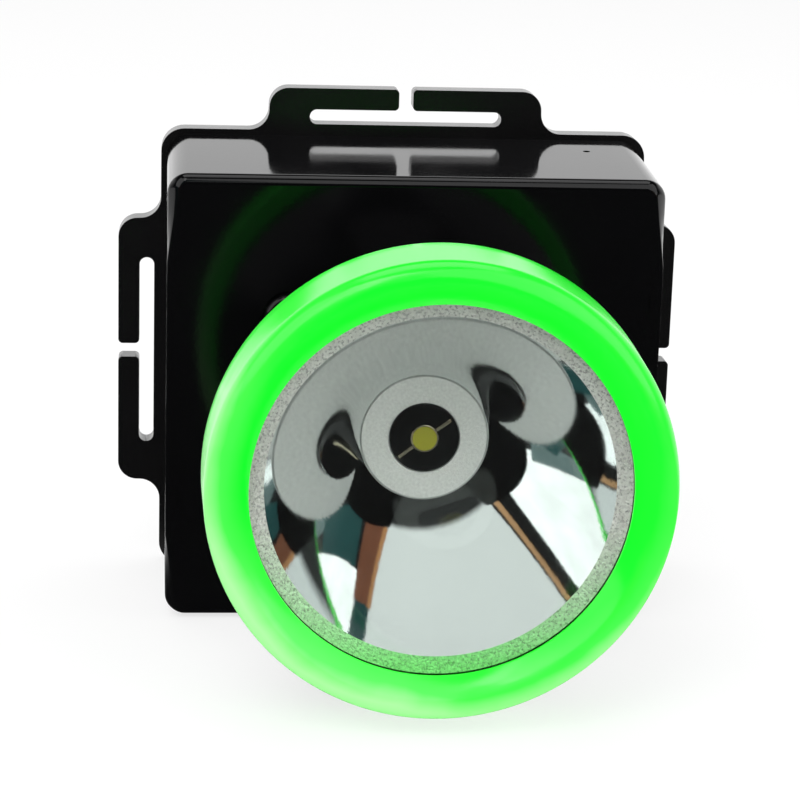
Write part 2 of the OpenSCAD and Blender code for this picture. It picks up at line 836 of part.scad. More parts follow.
module led_washer() {
    color([0.78, 0.8, 0.79]) head_turn() translate([washer_hole_r, washer_back])
        square([washer_r - washer_hole_r, washer_t]);
}

module reflector() {
    back_r = bowl_r(rim_back);
    color([0.85, 0.86, 0.87]) head_turn() polygon(concat(
        [for (i = [0:curve_steps]) let (r = throat_r + (window_r - throat_r) * i / curve_steps)
            [r, bowl(r)]],
        [[lip_r, lens_back], [seat_r, lens_back], [seat_r, rim_step]],
        [[lens_r, rim_step], [lens_r, rim_back]],
        [for (i = [curve_steps:-1:0]) let (r = throat_r + (back_r - throat_r) * i / curve_steps)
            [r + mirror_t, bowl(r)]],
        [[throat_r + mirror_t, neck_back], [throat_r, neck_back]]
    ));
}

module lens() {
    color([0.85, 0.9, 0.92, 0.35]) forward(0, lens_back, head_z) cylinder(r = lens_r, h = lens_t, $fn = 128);
}

module lens_seal() {
    color([0.1, 0.1, 0.1]) head_turn() translate([seat_r + fit, rim_step])
        square([lens_r - seat_r - fit, lens_seal_t]);
}

module bezel() {
    steps = [for (i = [0:curve_steps]) i / curve_steps];
    color([0.2, 0.95, 0.25]) head_turn() polygon(concat(
        [[bezel_bore, bezel_back], [bezel_r, bezel_back]],
        [for (t = steps)
            [crown_r + (bezel_front_r - crown_r) * cos(90 * t), crown - crown_run * (1 - sin(90 * t))]],
        [for (t = steps) [crown_r - (crown_r - lip_r) * t, crown - lip_back * pow(t, lip_curve)]],
        [[lip_r, pocket_front], [lens_r + fit, pocket_front]],
        [[lens_r + fit, ring_front], [bezel_bore, ring_front]]
    ));
}

module retaining_ring() {
    color([0.05, 0.05, 0.05]) head_turn() translate([lip_r, ring_back])
        square([bezel_bore - lip_r - skin, ring_t]);
}

front_shell();
back_cover();
cover_seal();
cover_screws();
forehead_pad();
battery();
battery_terminals();
positive_lead();
negative_lead();
circuit_board();
driver_parts();
board_screws();
switch_body();
charge_indicator();
charge_socket();
socket_pin();
socket_leads();
yoke();
yoke_screws();
pivot_pins();
friction_washers();
lamp_lead();
button_cap();
lamp_cup();
cup_seal();
heat_sink();
head_lead();
led_board();
led_body();
led_emitter();
led_contacts();
led_washer();
reflector();
lens();
lens_seal();
bezel();
retaining_ring();
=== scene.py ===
"""Looks of a battery cap lamp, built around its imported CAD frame.

Every size is in millimetres until a mesh is finished, when it is scaled to the frame's metres.
X is to the right, the beam points along -Y, and Z is up. A depth is a distance in front of the
rear pad's resting face, so it is -Y.
"""

import logging
import math
from dataclasses import dataclass, field
from enum import Enum
from typing import Optional, Sequence

import bmesh
import bpy
from mathutils import Matrix, Vector, noise

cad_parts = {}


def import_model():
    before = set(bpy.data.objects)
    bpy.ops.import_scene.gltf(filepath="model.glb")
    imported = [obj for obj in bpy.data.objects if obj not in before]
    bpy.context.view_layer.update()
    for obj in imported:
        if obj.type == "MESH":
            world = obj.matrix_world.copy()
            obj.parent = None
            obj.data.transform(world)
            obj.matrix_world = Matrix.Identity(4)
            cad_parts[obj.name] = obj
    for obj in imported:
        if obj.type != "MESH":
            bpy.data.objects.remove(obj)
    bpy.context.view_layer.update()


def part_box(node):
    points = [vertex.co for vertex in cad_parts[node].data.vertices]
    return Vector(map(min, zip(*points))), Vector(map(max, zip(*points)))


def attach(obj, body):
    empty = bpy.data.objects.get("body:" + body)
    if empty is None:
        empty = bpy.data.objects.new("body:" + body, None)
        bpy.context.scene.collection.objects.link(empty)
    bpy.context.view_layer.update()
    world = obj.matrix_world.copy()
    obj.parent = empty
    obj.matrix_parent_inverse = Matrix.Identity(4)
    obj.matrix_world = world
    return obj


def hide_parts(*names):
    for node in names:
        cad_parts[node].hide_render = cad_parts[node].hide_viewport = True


MM = 0.001
LOG = logging.getLogger("cap_lamp")

Point2 = tuple[float, float]
Corner = tuple[float, float, float]


class Body(Enum):
    """The moving bodies that pieces ride on."""

    HOUSING = "housing"
    BUTTON = "button"
    HEAD = "head"
    FOCUS = "focus_unit"
    BEZEL = "bezel_ring"


# ---------------------------------------------------------------- colours and node helpers


def linear(hex_colour: str) -> tuple[float, float, float, float]:
    """Turns an sRGB hex colour to a linear one.

    Args:
        hex_colour: Six hex digits, such as "4CFD4E".

    Returns:
        Linear red, green and blue, and an alpha of 1.
    """
    channels = [int(hex_colour[i : i + 2], 16) / 255 for i in (0, 2, 4)]
    red, green, blue = (
        c / 12.92 if c <= 0.04045 else ((c + 0.055) / 1.055) ** 2.4 for c in channels
    )
    return red, green, blue, 1.0


class NodeBuilder:
    """Adds nodes to one material or world, with their settings and links."""

    def __init__(self, tree: bpy.types.NodeTree) -> None:
        """Empties the tree.

        Args:
            tree: The node tree to fill.
        """
        self.tree = tree
        tree.nodes.clear()

    def add(
        self,
        kind: str,
        inputs: Optional[dict] = None,
        stops: Sequence[tuple] = (),
        **settings: object,
    ) -> bpy.types.Node:
        """Adds one node.

        Args:
            kind: The node's type name.
            inputs: Socket name or number to a value, or to an output socket to link from.
            stops: A colour ramp's pairs of position and linear colour, in order.
            **settings: Attributes of the node.

        Returns:
            The new node.
        """
        node = self.tree.nodes.new(kind)
        for name, value in settings.items():
            setattr(node, name, value)
        for name, value in (inputs or {}).items():
            if isinstance(value, bpy.types.NodeSocket):
                self.tree.links.new(value, node.inputs[name])
            else:
                node.inputs[name].default_value = value
        for number, (position, colour) in enumerate(stops):
            elements = node.color_ramp.elements
            if number == len(elements):
                elements.new(position)
            elements[number].position = position
            elements[number].color = colour
        return node


def grey(value: float) -> tuple[float, float, float, float]:
    """Returns a linear grey of that value."""
    return value, value, value, 1.0


# ---------------------------------------------------------------- finishes


@dataclass(frozen=True)
class Moulded:
    """Moulded or cast plastic, rubber or foam: a dielectric with a fine surface grain."""

    name: str
    colour: str
    rough: float = 0.2
    rough_span: float = 0.06
    grain_mm: float = 0.6
    grain_height_mm: float = 0.004
    tint: float = 0.12
    ior: float = 1.5
    coat: float = 0.0
    subsurface: float = 0.0
    glow: float = 0.0
    painted_glint_mm: float = 0.0

    def build(self) -> bpy.types.Material:
        """Makes the material.

        Returns:
            The finished material.
        """
        material, nodes, shader = new_material(self.name)
        base = linear(self.colour)
        where = nodes.add("ShaderNodeTexCoord").outputs["Object"]
        cloud = nodes.add("ShaderNodeTexNoise", {"Vector": where, "Scale": 90.0, "Detail": 3.0})
        grain = nodes.add(
            "ShaderNodeTexNoise",
            {"Vector": where, "Scale": 1 / (self.grain_mm * MM), "Detail": 4.0},
        )
        dark = tuple(c * (1 - self.tint) for c in base[:3]) + (1.0,)
        cloudy = nodes.add(
            "ShaderNodeValToRGB", {"Fac": cloud.outputs["Fac"]}, stops=[(0.3, dark), (0.7, base)]
        )
        colour = cloudy.outputs["Color"]
        # painted glints: lighter specks stand in for cut cells that catch light
        if self.painted_glint_mm:
            painted_glint_cells = nodes.add(
                "ShaderNodeTexVoronoi", {"Vector": where, "Scale": 1 / (self.painted_glint_mm * MM)}
            )
            mask = nodes.add(
                "ShaderNodeMapRange",
                {"Value": painted_glint_cells.outputs["Distance"], 1: 0.05, 2: 0.3, 3: 1.0, 4: 0.0},
            )
            painted_glint_colour = tuple(min(1.0, c * 1.8 + 0.01) for c in base[:3]) + (1.0,)
            mix = nodes.add("ShaderNodeMix", data_type="RGBA")
            nodes.tree.links.new(mask.outputs[0], mix.inputs[0])
            nodes.tree.links.new(colour, mix.inputs[6])
            mix.inputs[7].default_value = painted_glint_colour
            colour = mix.outputs[2]
        rough = nodes.add(
            "ShaderNodeMapRange",
            {
                "Value": cloud.outputs["Fac"],
                1: 0.3,
                2: 0.7,
                3: self.rough,
                4: self.rough + self.rough_span,
            },
        )
        bump = nodes.add(
            "ShaderNodeBump",
            {
                "Height": grain.outputs["Fac"],
                "Strength": 1.0,
                "Distance": self.grain_height_mm * MM,
            },
        )
        link = nodes.tree.links.new
        link(colour, shader.inputs["Base Color"])
        link(rough.outputs[0], shader.inputs["Roughness"])
        link(bump.outputs[0], shader.inputs["Normal"])
        shader.inputs["IOR"].default_value = self.ior
        shader.inputs["Coat Weight"].default_value = self.coat
        shader.inputs["Coat Roughness"].default_value = 0.05
        shader.inputs["Subsurface Weight"].default_value = self.subsurface
        shader.inputs["Subsurface Radius"].default_value = (0.4, 1.0, 0.4)
        shader.inputs["Subsurface Scale"].default_value = 0.8 * MM
        if self.glow:
            shader.inputs["Emission Color"].default_value = base
            shader.inputs["Emission Strength"].default_value = self.glow
        return material


@dataclass(frozen=True)
class Metal:
    """Bare or plated metal, blasted, brushed or polished."""

    name: str
    colour: str
    rough: float = 0.25
    rough_span: float = 0.1
    grain_mm: float = 0.25
    grain_height_mm: float = 0.01
    cloud_mm: float = 8.0
    tint: float = 0.08
    metallic: float = 1.0
    # the colour of a painted green light spilled from the lip, and the heights where it starts and is full
    painted_lip_light: str = ""
    painted_lip_light_mm: tuple[float, float] = (-6.0, -26.0)

    def build(self) -> bpy.types.Material:
        """Makes the material.

        Returns:
            The finished material.
        """
        material, nodes, shader = new_material(self.name)
        base = linear(self.colour)
        where = nodes.add("ShaderNodeTexCoord").outputs["Object"]
        cloud = nodes.add(
            "ShaderNodeTexNoise",
            {"Vector": where, "Scale": 1 / (self.cloud_mm * MM), "Detail": 3.0},
        )
        grain = nodes.add(
            "ShaderNodeTexNoise",
            {"Vector": where, "Scale": 1 / (self.grain_mm * MM), "Detail": 2.0},
        )
        dark = tuple(c * (1 - self.tint) for c in base[:3]) + (1.0,)
        rough = nodes.add(
            "ShaderNodeMapRange",
            {
                "Value": cloud.outputs["Fac"],
                1: 0.3,
                2: 0.7,
                3: self.rough,
                4: self.rough + self.rough_span,
            },
        )
        bump = nodes.add(
            "ShaderNodeBump",
            {
                "Height": grain.outputs["Fac"],
                "Strength": 1.0,
                "Distance": self.grain_height_mm * MM,
            },
        )
        link = nodes.tree.links.new
        cloudy = nodes.add(
            "ShaderNodeValToRGB", {"Fac": cloud.outputs["Fac"]}, stops=[(0.3, dark), (0.7, base)]
        )
        colour = cloudy.outputs["Color"]
        # painted light: lower down the colour is multiplied towards a green that stands in for the lip's
        # light on the rim
        if self.painted_lip_light:
            axes = nodes.add("ShaderNodeSeparateXYZ", {0: where})
            high, low = (height * MM for height in self.painted_lip_light_mm)
            painted_lip_light_share = nodes.add("ShaderNodeMapRange", {"Value": axes.outputs["Z"], 1: high, 2: low})
            painted_lip_light_tint = nodes.add(
                "ShaderNodeValToRGB",
                {"Fac": painted_lip_light_share.outputs[0]},
                stops=[(0.0, grey(1.0)), (1.0, linear(self.painted_lip_light))],
            )
            mix = nodes.add("ShaderNodeMix", data_type="RGBA", blend_type="MULTIPLY")
            mix.inputs[0].default_value = 1.0
            link(colour, mix.inputs[6])
            link(painted_lip_light_tint.outputs["Color"], mix.inputs[7])
            colour = mix.outputs[2]
        link(colour, shader.inputs["Base Color"])
        link(rough.outputs[0], shader.inputs["Roughness"])
        link(bump.outputs[0], shader.inputs["Normal"])
        shader.inputs["Metallic"].default_value = self.metallic
        return material


@dataclass(frozen=True)
class Fluorescent:
    """Fluorescent plastic with painted light and shade: deep at the top and on its inner slope, paler and
    lit low down at the left, with a painted glow.
    """

    name: str = "ABS_fluorescent_green"
    deep: str = "05F422"
    middle: str = "3CFC42"
    pale: str = "A2FF99"
    rough: float = 0.16
    # painted glow: a fixed emission in the ring's own painted greens
    glow: float = 0.1
    half_height_mm: float = 30.0
    axis_z_mm: float = -1.2
    slope_mm: tuple[float, float] = (26.2, 31.5)
    painted_shade_slope_shift: tuple[float, float] = (-0.7, 0.15)
    painted_light_side_shift: float = 0.22

    def build(self) -> bpy.types.Material:
        """Makes the material.

        Returns:
            The finished material.
        """
        material, nodes, shader = new_material(self.name)
        where = nodes.add("ShaderNodeTexCoord").outputs["Object"]
        axes = nodes.add("ShaderNodeSeparateXYZ", {0: where})
        # painted light and shade: the green grows paler downwards and to the left and deeper on the inner
        # slope, standing in for how the light falls on the ring
        reach = self.half_height_mm * MM
        painted_light_by_height = nodes.add("ShaderNodeMapRange", {"Value": axes.outputs["Z"], 1: reach, 2: -reach})
        flow = nodes.add("ShaderNodeTexNoise", {"Vector": where, "Scale": 70.0, "Detail": 3.0})
        drift = nodes.add(
            "ShaderNodeMapRange", {"Value": flow.outputs["Fac"], 1: 0.3, 2: 0.7, 3: -0.12, 4: 0.12}
        )
        side = nodes.add(
            "ShaderNodeMapRange",
            {"Value": axes.outputs["X"], 1: -reach, 2: reach, 3: self.painted_light_side_shift, 4: -self.painted_light_side_shift},
        )
        centre = (0.0, 0.0, self.axis_z_mm * MM)
        flat = nodes.add("ShaderNodeVectorMath", {0: where, 1: (1.0, 0.0, 1.0)}, operation="MULTIPLY")
        spoke = nodes.add("ShaderNodeVectorMath", {0: flat.outputs[0], 1: centre}, operation="DISTANCE")
        inner, outer = (radius * MM for radius in self.slope_mm)
        start, end = self.painted_shade_slope_shift
        slope = nodes.add(
            "ShaderNodeMapRange",
            {"Value": spoke.outputs["Value"], 1: inner, 2: outer, 3: start, 4: end},
        )
        shift = nodes.add("ShaderNodeMath", {0: side.outputs[0], 1: slope.outputs[0]}, operation="ADD")
        lean = nodes.add("ShaderNodeMath", {0: painted_light_by_height.outputs[0], 1: shift.outputs[0]}, operation="ADD")
        place = nodes.add("ShaderNodeMath", {0: lean.outputs[0], 1: drift.outputs[0]}, operation="ADD")
        stops = [(0.0, linear(self.deep)), (0.55, linear(self.middle)), (1.0, linear(self.pale))]
        lit_and_shaded_greens = nodes.add("ShaderNodeValToRGB", {"Fac": place.outputs[0]}, stops=stops)
        colour = lit_and_shaded_greens.outputs["Color"]
        rough = nodes.add(
            "ShaderNodeMapRange",
            {"Value": flow.outputs["Fac"], 1: 0.3, 2: 0.7, 3: self.rough, 4: self.rough + 0.06},
        )
        link = nodes.tree.links.new
        link(colour, shader.inputs["Base Color"])
        link(colour, shader.inputs["Emission Color"])
        link(rough.outputs[0], shader.inputs["Roughness"])
        # painted glow, standing in for the dye's fluorescence
        shader.inputs["Emission Strength"].default_value = self.glow
        return material


@dataclass(frozen=True)
class ClearLens:
    """Moulded polycarbonate: clear, with a faint green edge. Light for shadows passes through."""

    name: str = "polycarbonate_clear"
    colour: str = "FBFFFC"
    ior: float = 1.58

    def build(self) -> bpy.types.Material:
        """Makes the material.

        Returns:
            The finished material.
        """
        material, nodes, shader = new_material(self.name)
        where = nodes.add("ShaderNodeTexCoord").outputs["Object"]
        haze = nodes.add("ShaderNodeTexNoise", {"Vector": where, "Scale": 60.0, "Detail": 2.0})
        rough = nodes.add(
            "ShaderNodeMapRange", {"Value": haze.outputs["Fac"], 1: 0.4, 2: 0.7, 3: 0.0, 4: 0.012}
        )
        shader.inputs["Base Color"].default_value = linear(self.colour)
        nodes.tree.links.new(rough.outputs[0], shader.inputs["Roughness"])
        shader.inputs["IOR"].default_value = self.ior
        shader.inputs["Transmission Weight"].default_value = 1.0
        path = nodes.add("ShaderNodeLightPath")
        clear = nodes.add("ShaderNodeBsdfTransparent")
        mix = nodes.add("ShaderNodeMixShader", {0: path.outputs["Is Shadow Ray"]})
        link = nodes.tree.links.new
        link(shader.outputs[0], mix.inputs[1])
        link(clear.outputs[0], mix.inputs[2])
        out = next(n for n in nodes.tree.nodes if n.bl_idname == "ShaderNodeOutputMaterial")
        link(mix.outputs[0], out.inputs["Surface"])
        return material


def new_material(name: str) -> tuple[bpy.types.Material, NodeBuilder, bpy.types.Node]:
    """Starts a material with one Principled shader on its output.

    Args:
        name: The material's name.

    Returns:
        The material, its node builder and the shader.
    """
    material = bpy.data.materials.new(name)
    material.use_nodes = True
    nodes = NodeBuilder(material.node_tree)
    shader = nodes.add("ShaderNodeBsdfPrincipled")
    nodes.add("ShaderNodeOutputMaterial", {"Surface": shader.outputs["BSDF"]})
    return material, nodes, shader


Finish = Moulded | Metal | Fluorescent | ClearLens


class Finishes:
    """The lamp's materials, each made once."""

    # high gloss moulded ABS: deep black that mirrors the room, with faint flow marks
    GLOSS_ABS = Moulded("ABS_gloss_black", "060607", rough=0.06, rough_span=0.05, ior=1.36)
    # the same ABS from a less polished mould: softer reflections
    SATIN_ABS = Moulded("ABS_satin_black", "0B0B0C", rough=0.2, rough_span=0.06, ior=1.48)
    # fluorescent green ABS: the dye gives back more green than it gets, which is drawn as a painted glow;
    # its green is painted paler low down at the left and deeper on the inner slope, for how the light falls
    GREEN_ABS = Fluorescent()
    # seal rubber from a mould: matt black with no clear highlight
    NITRILE = Moulded("nitrile_rubber", "161616", rough=0.5, grain_height_mm=0.01)
    # closed-cell EVA foam: matt, with cut cells whose catch of light is painted as lighter specks
    EVA_FOAM = Moulded(
        "EVA_foam", "1D1D1F", rough=0.85, grain_mm=0.5, grain_height_mm=0.12, painted_glint_mm=0.9, tint=0.25
    )
    # the battery's plain moulded case: pale grey with a broad soft shine
    CASE_ABS = Moulded("ABS_grey_case", "A9ABA8", rough=0.35, grain_height_mm=0.01)
    # extruded wire insulation: waxy red, and the same in black below it
    RED_PVC = Moulded("PVC_red", "B3120E", rough=0.3)
    BLACK_PVC = Moulded("PVC_black", "121212", rough=0.3)
    # cured lacquer over a glass-cloth board: deep green and smooth
    SOLDER_MASK = Moulded("solder_mask_green", "0E5A26", rough=0.25, grain_mm=1.2)
    # moulded part cases: dull near-black
    EPOXY = Moulded("epoxy_black", "18181A", rough=0.4)
    # the light source's body, cast and smooth: black with a tight highlight
    LED_EPOXY = Moulded("epoxy_dark_glossy", "070808", rough=0.12, grain_mm=0.3)
    # a cast indicator: glossy red
    RED_EPOXY = Moulded("epoxy_red", "C0150F", rough=0.15)
    # moulded nylon: black with a soft sheen
    NYLON = Moulded("nylon_black", "141414", rough=0.4)
    # punched vulcanised fibre: matt brown with a papery grain
    FIBRE = Moulded("vulcanised_fibre", "6B4A2A", rough=0.6, grain_height_mm=0.02)
    # phosphor in silicone: a dull olive yellow when the lamp is off
    PHOSPHOR = Moulded("phosphor_silicone", "B8B42C", rough=0.35, grain_mm=0.15, tint=0.15)
    # plated screws: pale grey and a little cloudy
    ZINC_STEEL = Metal("steel_zinc_plated", "C4C6CA", rough=0.28, grain_mm=0.4)
    # stamped brass: warm yellow with a satin shine
    BRASS = Metal("brass", "C9A24E", rough=0.25)
    # plated pin: warm silver and nearly a mirror
    NICKEL = Metal("nickel_plate", "CFCBBF", rough=0.12, grain_height_mm=0.003)
    # flash-plated contacts: pale gold
    GILT = Metal("copper_gilt", "E6DCC0", rough=0.18, grain_height_mm=0.003)
    # turned aluminium: light grey, with soft highlights
    ALUMINIUM = Metal("aluminium_turned", "D6D8DA", rough=0.3)
    # fine blasted silver under a pale dip: even, light and matt; its sparkle is drawn coarser than real, in
    # bump grain and in painted glints of a fine colour speckle
    BLASTED = Metal(
        "aluminium_blasted", "FAFBF9", rough=0.5, rough_span=0.08, grain_mm=0.22,
        grain_height_mm=0.08, cloud_mm=0.4, tint=0.16, metallic=0.1,
    )
    # vacuum-metallised plastic: a mirror with a faint orange peel from its mould
    MIRROR = Metal(
        "aluminium_vacuum_coat", "EEF1F1", rough=0.02, rough_span=0.03, grain_mm=0.5,
        grain_height_mm=0.0015, cloud_mm=12.0, tint=0.03,
    )
    # the same coat over a pebbled rim: it sparkles, in grains drawn coarser than real so that they
    # show, in facets and bumps and in painted glints of a fine colour speckle; low down it takes a painted
    # green light spilled from the lip beside it
    PEBBLED = Metal(
        "aluminium_coat_pebbled", "FBFAF6", rough=0.24, rough_span=0.12, grain_mm=0.2,
        grain_height_mm=0.07, cloud_mm=0.4, tint=0.4, metallic=0.45, painted_lip_light="86F284",
    )
    # clear moulded polycarbonate: shows only as a faint reflection
    LENS = ClearLens()

    _made: dict[str, bpy.types.Material] = {}

    @classmethod
    def get(cls, finish: Finish) -> bpy.types.Material:
        """Returns the finish's material, made on first use."""
        if finish.name not in cls._made:
            cls._made[finish.name] = finish.build()
        return cls._made[finish.name]


# ---------------------------------------------------------------- mesh helpers


def box_mm(node: str) -> tuple[Vector, Vector]:
    """Returns the lowest and highest corner of a CAD node, in millimetres."""
    low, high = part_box(node)
    return low / MM, high / MM


def fillet(corners: Sequence[Corner], steps: int = 8) -> list[Point2]:
    """Rounds the corners of a closed outline.

    Args:
        corners: The sharp corners in order, each with the radius of its round.
        steps: Points along each round, less one.

    Returns:
        The outline's points in order.
    """
    points: list[Point2] = []
    count = len(corners)
    for i, (x, y, radius) in enumerate(corners):
        here = Vector((x, y))
        to_last = (Vector(corners[i - 1][:2]) - here).normalized()
        to_next = (Vector(corners[(i + 1) % count][:2]) - here).normalized()
        if radius <= 0:
            points.append((x, y))
            continue
        half = to_last.angle(to_next) / 2
        centre = here + (to_last + to_next).normalized() * (radius / math.sin(half))
        reach = radius / math.tan(half)
        start, end = here + to_last * reach - centre, here + to_next * reach - centre
        turn = start.angle_signed(end)
        for k in range(steps + 1):
            spoke = start.copy()
            spoke.rotate(Matrix.Rotation(-turn * k / steps, 2))
            points.append(tuple(centre + spoke))
    return points


def finish_mesh(
    bm: bmesh.types.BMesh, name: str, sharp_deg: float = 35.0, recalc: bool = True
) -> bpy.types.Object:
    """Turns a bmesh in millimetres to an object in metres, smooth but for its sharp edges.

    Args:
        bm: The mesh, which is freed.
        name: The object's name.
        sharp_deg: Edges bent more than this stay sharp.
        recalc: Whether faces are turned outwards.

    Returns:
        The linked object.
    """
    bmesh.ops.remove_doubles(bm, verts=bm.verts, dist=1e-4)
    if recalc:
        bmesh.ops.recalc_face_normals(bm, faces=bm.faces)
    bmesh.ops.scale(bm, vec=(MM, MM, MM), verts=bm.verts)
    mesh = bpy.data.meshes.new(name)
    bm.to_mesh(mesh)
    bm.free()
    mesh.shade_smooth()
    mesh.set_sharp_from_angle(angle=math.radians(sharp_deg))
    piece = bpy.data.objects.new(name, mesh)
    bpy.context.scene.collection.objects.link(piece)
    return piece


def spin_profile(
    profile: Sequence[Point2], axis_z: float, steps: int = 192, closed: bool = True
) -> bmesh.types.BMesh:
    """Turns a profile about the head's axis.

    Args:
        profile: Points of radius and depth, in order.
        axis_z: Height of the axis.
        steps: Steps round the circle.
        closed: Whether the profile's last point joins its first.

    Returns:
        The turned mesh, in millimetres.
    """
    bm = bmesh.new()
    verts = [bm.verts.new((r, -depth, axis_z)) for r, depth in profile]
    pairs = list(zip(verts, verts[1:]))
    if closed:
        pairs.append((verts[-1], verts[0]))
    edges = [bm.edges.new(pair) for pair in pairs]
    bmesh.ops.spin(
        bm, geom=verts + edges, cent=(0, 0, axis_z), axis=(0, -1, 0), angle=math.tau,
        steps=steps, use_merge=True, use_duplicate=False,
    )
    bmesh.ops.remove_doubles(bm, verts=bm.verts, dist=1e-4)
    return bm


def extrude_outline(
    outline: Sequence[Point2], start: float, end: float, edge_mm: float, segments: int = 3
) -> bmesh.types.BMesh:
    """Thickens an outline in X and Z from one depth to another and rounds its rims.

    Args:
        outline: The outline's points in order.
        start: Depth of the back.
        end: Depth of the front.
        edge_mm: Radius of the rounded rims.
        segments: Steps across each rim.

    Returns:
        The plate, in millimetres.
    """
    bm = bmesh.new()
    back = bm.faces.new([bm.verts.new((x, -start, z)) for x, z in outline])
    grown = bmesh.ops.extrude_face_region(bm, geom=[back])["geom"]
    front = [v for v in grown if isinstance(v, bmesh.types.BMVert)]
    bmesh.ops.translate(bm, vec=(0, start - end, 0), verts=front)
    bmesh.ops.recalc_face_normals(bm, faces=bm.faces)
    rims = [e for e in bm.edges if abs(e.verts[0].co.y - e.verts[1].co.y) < 1e-6]
    bevel_edges(bm, rims, edge_mm, segments)
    return bm


def bevel_edges(
    bm: bmesh.types.BMesh, edges: Sequence[bmesh.types.BMEdge], radius: float, segments: int
) -> None:
    """Rounds edges by that radius."""
    bmesh.ops.bevel(
        bm, geom=list(edges), offset=radius, offset_type="OFFSET", segments=segments,
        profile=0.5, affect="EDGES", clamp_overlap=True, material=-1,
    )


def cylinder_cutter(radius: float, length: float, matrix: Matrix, segments: int = 64) -> bpy.types.Object:
    """Makes a cylinder that cuts holes, with its axis along the matrix's Z.

    Args:
        radius: The radius in millimetres.
        length: The length in millimetres.
        matrix: Place and turn, in millimetres.
        segments: Sides of the cylinder.

    Returns:
        The cutter.
    """
    bm = bmesh.new()
    bmesh.ops.create_cone(
        bm, cap_ends=True, segments=segments, radius1=radius, radius2=radius, depth=length, matrix=matrix
    )
    return finish_mesh(bm, "cutter")


def cut(piece: bpy.types.Object, cutters: Sequence[bpy.types.Object], sharp_deg: float = 35.0) -> None:
    """Cuts holes in a piece and removes the cutters.

    Args:
        piece: The piece to cut.
        cutters: Closed objects to take away.
        sharp_deg: Edges bent more than this stay sharp.
    """
    for cutter in cutters:
        modifier = piece.modifiers.new("hole", "BOOLEAN")
        modifier.operation = "DIFFERENCE"
        modifier.solver = "EXACT"
        modifier.object = cutter
    apply_modifiers(piece)
    piece.data.shade_smooth()
    piece.data.set_sharp_from_angle(angle=math.radians(sharp_deg))
    for cutter in cutters:
        bpy.data.objects.remove(cutter)


def apply_modifiers(piece: bpy.types.Object) -> None:
    """Replaces the piece's mesh by what its modifiers make of it."""
    bpy.context.view_layer.update()
    shown = piece.evaluated_get(bpy.context.evaluated_depsgraph_get())
    mesh = bpy.data.meshes.new_from_object(shown)
    piece.modifiers.clear()
    piece.data = mesh


def dress(
    piece: bpy.types.Object,
    finish: Finish,
    body: Body,
    nodes: Sequence[str] = (),
) -> bpy.types.Object:
    """Gives a piece its finish, body and the CAD nodes that it stands for.

    Args:
        piece: The piece.
        finish: Its material's finish.
        body: The body that it rides on.
        nodes: The CAD nodes that it replaces.

    Returns:
        The piece.
    """
    if not piece.data.materials:
        piece.data.materials.append(Finishes.get(finish))
    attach(piece, body.value)
    if nodes:
        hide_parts(*nodes)
    faces = len(piece.data.polygons)
    LOG.info("%s: %d faces, rides on %s", piece.name, faces, body.value)
    return piece


def turned(
    name: str, profile: Sequence[Point2], axis_z: float, steps: int = 192, sharp_deg: float = 35.0
) -> bpy.types.Object:
    """Makes a piece by turning a closed profile of radius and depth about the head's axis."""
    return finish_mesh(spin_profile(profile, axis_z, steps), name, sharp_deg)


def smooth_flats(piece: bpy.types.Object) -> bpy.types.Object:
    """Weights a piece's normals by face area, so that its flats stay flat beside rounded edges."""
    weighted = piece.modifiers.new("flat_faces", "WEIGHTED_NORMAL")
    weighted.keep_sharp = True
    weighted.weight = 100
    return piece


def arc(centre: Point2, radius: float, start_deg: float, end_deg: float, steps: int = 6) -> list[Point2]:
    """Returns points on an arc of a profile, from one angle to another."""
    angles = [math.radians(start_deg + (end_deg - start_deg) * k / steps) for k in range(steps + 1)]
    return [(centre[0] + radius * math.cos(a), centre[1] + radius * math.sin(a)) for a in angles]


# ---------------------------------------------------------------- the box


@dataclass
class Lug:
    """A strap lug's outline along one edge of the flange, from U = -half to U = half."""

    half: float = 21.3
    reach: float = 6.6
    root_r: float = 3.2
    corner_r: float = 3.0
    slot_half: float = 15.0
    slot_low: float = 1.0
    slot_high: float = 3.3
    slot_r: float = 1.14
    gap_half: float = 1.1
    gap_r: float = 0.7

    def corners(self) -> list[Corner]:
        """Returns the lug's corners as U, distance from the flange's edge, and radius."""
        side = [
            (self.half, 0.0, self.root_r),
            (self.half, self.reach, self.corner_r),
            (self.gap_half, self.reach, self.gap_r),
            (self.gap_half, self.slot_high, self.gap_r),
            (self.slot_half, self.slot_high, self.slot_r),
            (self.slot_half, self.slot_low, self.slot_r),
        ]
        return [(-u, v, r) for u, v, r in side] + side[::-1]


